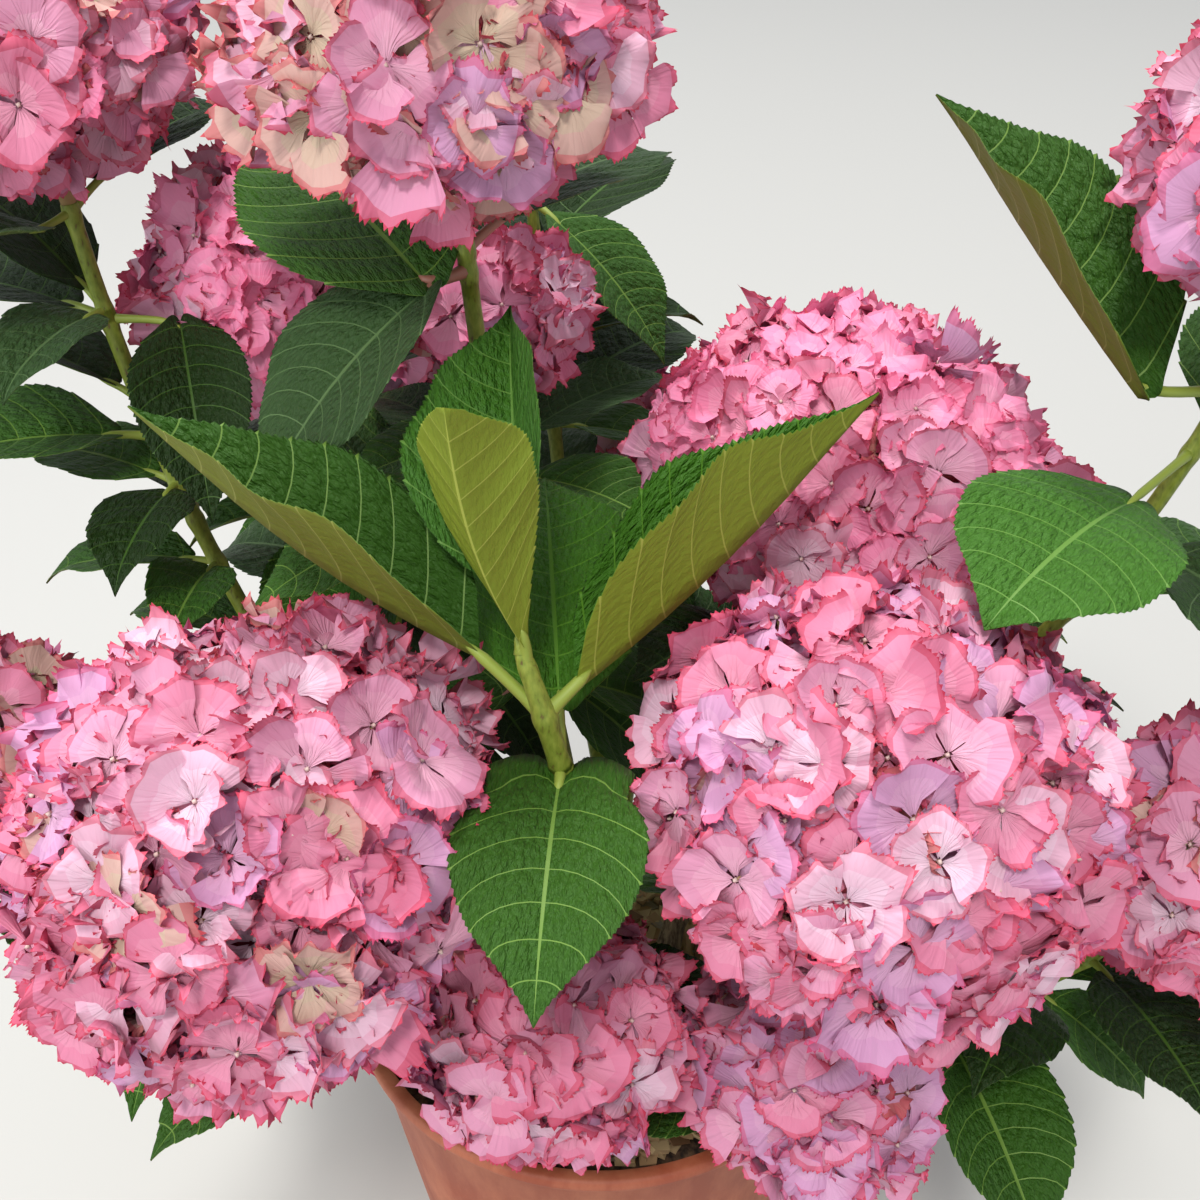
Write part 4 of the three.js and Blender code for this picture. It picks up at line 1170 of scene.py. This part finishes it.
def unshared(seat, owner):
    """Which seats lie on this head's side of its near neighbours, and clear of the leaves."""
    bloom = owner["bloom"]
    keep = distances(seat, blade_points) > ROOM_FLORET
    for other in shoots:
        if "bloom" not in other or other is owner:
            continue
        away = np.array(other["bloom"]["at"], float) - bloom["at"]
        between = np.linalg.norm(away)
        sizes = bloom["radius"] + other["bloom"]["radius"]
        if between < NEAR_BLOOMS * sizes:
            keep &= (seat - bloom["at"]) @ (away / between) < between * bloom["radius"] / sizes - 3
    return keep


def seats(owner, count, sunk, jitter, rand):
    """Places over a head's dome that are evenly spread and free, and the way each floret there faces."""
    bloom = owner["bloom"]
    k = np.arange(count) + 0.5
    height = 1 - 1.84 * k / count
    angle = k * GOLDEN_ANGLE + rand.normal(0, 0.14, count)
    ring = np.sqrt(1 - height ** 2)
    outward = np.stack([ring * np.cos(angle), ring * np.sin(angle), height], axis=1)
    turn = turn_to(bloom_axis(bloom))
    seat = dome_point(outward, bloom["radius"] - rand.uniform(*sunk, count)) @ turn.T + np.array(bloom["at"])
    facing = (outward + rand.normal(0, jitter, (count, 3))) @ turn.T
    facing = facing + LIGHTWARD * np.clip(0.6 - facing[:, 1:2], 0, 1)
    facing /= np.linalg.norm(facing, axis=1, keepdims=True)
    free = unshared(seat, owner)
    return seat[free], facing[free]


# Each floret has an eye. Inside the dome a lumpy core closes the gaps: it stands for the backs of the
# sepals, and its dark red is painted shade, the warm shade deep inside the head.
EYE_RADIUS = 1.3
EYE_HEIGHT = 0.8
THREAD_RADIUS = 0.75
eye_box = np.array([(1, 0, 0), (0, 1, 0), (-1, 0, 0), (0, -1, 0), (0, 0, 1.3), (0, 0, -0.6)]) * EYE_RADIUS
eye_faces = np.array([
    (0, 1, 4, 4), (1, 2, 4, 4), (2, 3, 4, 4), (3, 0, 4, 4),
    (1, 0, 5, 5), (2, 1, 5, 5), (3, 2, 5, 5), (0, 3, 5, 5),
])
bpy.ops.object.select_all(action="DESELECT")
bpy.ops.mesh.primitive_ico_sphere_add(subdivisions=4, radius=1)
ball, ball_faces = read_off(bpy.context.object)
core_meshes, thread_meshes = [], []
for number, shoot in enumerate(shoots):
    if "bloom" not in shoot:
        continue
    bloom, name = shoot["bloom"], shoot["name"]
    radius, centre, axis = bloom["radius"], np.array(bloom["at"], float), bloom_axis(bloom)
    rand = np.random.RandomState(4001 + 131 * number)
    large = name in ("left_front", "right_front", "right_middle", "top")
    middling = name in ("low_front", "low_middle", "left_middle", "behind_middle")
    count = int(FLORETS_PER_SPACE * (radius / FLORET_SPACING) ** 2)
    seat, facing = seats(shoot, count, OUTER_SUNK, 0.2, rand)
    ruffle = RAGGED.get(name, 1.15) * rand.choice([0.6, 1.0, 1.7], len(seat), p=[0.45, 0.37, 0.18])
    size = rand.uniform(0.8, 1.12, len(seat)) * (0.95 if name == "right_middle" else 1.0)
    sheet = FINE_SHEET if large or middling else PLAIN_SHEET
    outer = florets(seat, facing, size, ruffle, bloom_mix.get(name, PLAIN_MIX), sheet, rand)
    low_seat, low_facing = seats(shoot, count, INNER_SUNK, 0.45, rand)
    size, ruffle = rand.uniform(0.45, 0.75, len(low_seat)), rand.uniform(1.4, 2.4, len(low_seat))
    sheet = PLAIN_SHEET if large else SMALL_SHEET
    low = florets(low_seat, low_facing, size, ruffle, INNER_MIX, sheet, rand)
    first = np.cross(facing, [0.3, 0.5, 0.81])
    first /= np.linalg.norm(first, axis=1, keepdims=True)
    second = np.cross(facing, first)
    x, y, z = (eye_box[None, :, k, None] for k in range(3))
    eyes = seat[:, None] + x * first[:, None] + y * second[:, None] + (z + EYE_HEIGHT) * facing[:, None]
    eyes = eyes.reshape(-1, 3) / 1000
    quads = (eye_faces[None] + len(eye_box) * np.arange(len(seat))[:, None, None]).reshape(-1, 4)
    slots = np.concatenate([outer[2], low[2], np.zeros(len(quads))])
    piece = joined(f"florets_{name}", [outer[:2], low[:2], (eyes, quads)], petal_paints, slots)
    give_skin(piece, [outer[3], low[3], np.zeros(eyes.shape)])
    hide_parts(f"bloom_{name}")
    # The core is a lumpy sheet of painted shade inside the dome.
    lumps = 0.66 + 0.05 * np.sin(9 * ball[:, 0] + number) * np.sin(8 * ball[:, 1])
    lumps = lumps + 0.03 * np.sin(23 * ball[:, 2] + 17 * ball[:, 0])
    core = dome_point(ball, radius * lumps) @ turn_to(axis).T + centre
    core_meshes.append((core / 1000, ball_faces))
    # Thin stalks run from the top of the stem to the eyes.
    foot, hub = shoot["curve"].at(1)[0], centre - axis * (0.42 * radius)
    for eye, out in zip(seat, facing):
        thread = Bend([hub, hub + (eye - hub) * 0.6 - out * 4, eye - out])
        thread_meshes.append(tube(thread, THREAD_RADIUS, 4, np.linspace(0, 1, 4)))
    s = np.linspace(0, 1, 5)
    thread_meshes.append(tube(Bend([foot, (foot + hub) / 2, hub]), SHOOT_TIP_RADIUS + 0.8 * s, 10, s))
# The core's dark red is painted shade.
cores = joined("bloom_cores_painted_shade", core_meshes, [finish("bloom_core_painted_shade", seen(168, 60, 78), 0.8)])
threads = joined("floret_stalks", thread_meshes, [finish("floret_stalk", seen(178, 150, 104), 0.55)])


# A plain pale floor, and the soft light of a studio: one lamp above in front, one above behind,
# and a weak one low on the left.
AIMED_AT = np.array([0, 0, 0.5])
bpy.ops.object.select_all(action="DESELECT")
bpy.ops.mesh.primitive_plane_add(size=60)
floor = bpy.context.object
floor.name = "floor"
floor.data.materials.append(finish("floor_paint", seen(196, 196, 192), 0.9))
world = bpy.data.worlds.new("studio")
world.use_nodes = True
world.node_tree.nodes["Background"].inputs["Color"].default_value = (0.92, 0.94, 1.0, 1)
world.node_tree.nodes["Background"].inputs["Strength"].default_value = 0.66
bpy.context.scene.world = world
for name, place, size, power, colour in [
    ("key", (-0.5, -3.4, 5.5), 0.9, 175, (1.0, 0.97, 0.93)),
    ("top", (-0.4, 1.5, 5.6), 1.1, 185, (1.0, 0.98, 0.95)),
    ("fill", (-1.9, -1.0, 1.5), 1.8, 21, (0.97, 0.98, 1.0)),
]:
    lamp = bpy.data.lights.new(name, "AREA")
    lamp.size = size
    lamp.energy = power
    lamp.color = colour
    holder = bpy.data.objects.new(name, lamp)
    holder.location = place
    away = np.array(place) - AIMED_AT
    holder.rotation_euler = (math.acos(away[2] / np.linalg.norm(away)), 0, math.atan2(away[0], -away[1]))
    bpy.context.scene.collection.objects.link(holder)
lens = bpy.data.cameras.new("camera")
lens.lens = 45
lens.sensor_width = 36
camera = bpy.data.objects.new("camera", lens)
camera.location = (0, -0.594, 0.928)
camera.rotation_euler = (math.radians(55), 0, 0)
bpy.context.scene.collection.objects.link(camera)
bpy.context.scene.camera = camera
bpy.context.scene.view_settings.view_transform = "Standard"
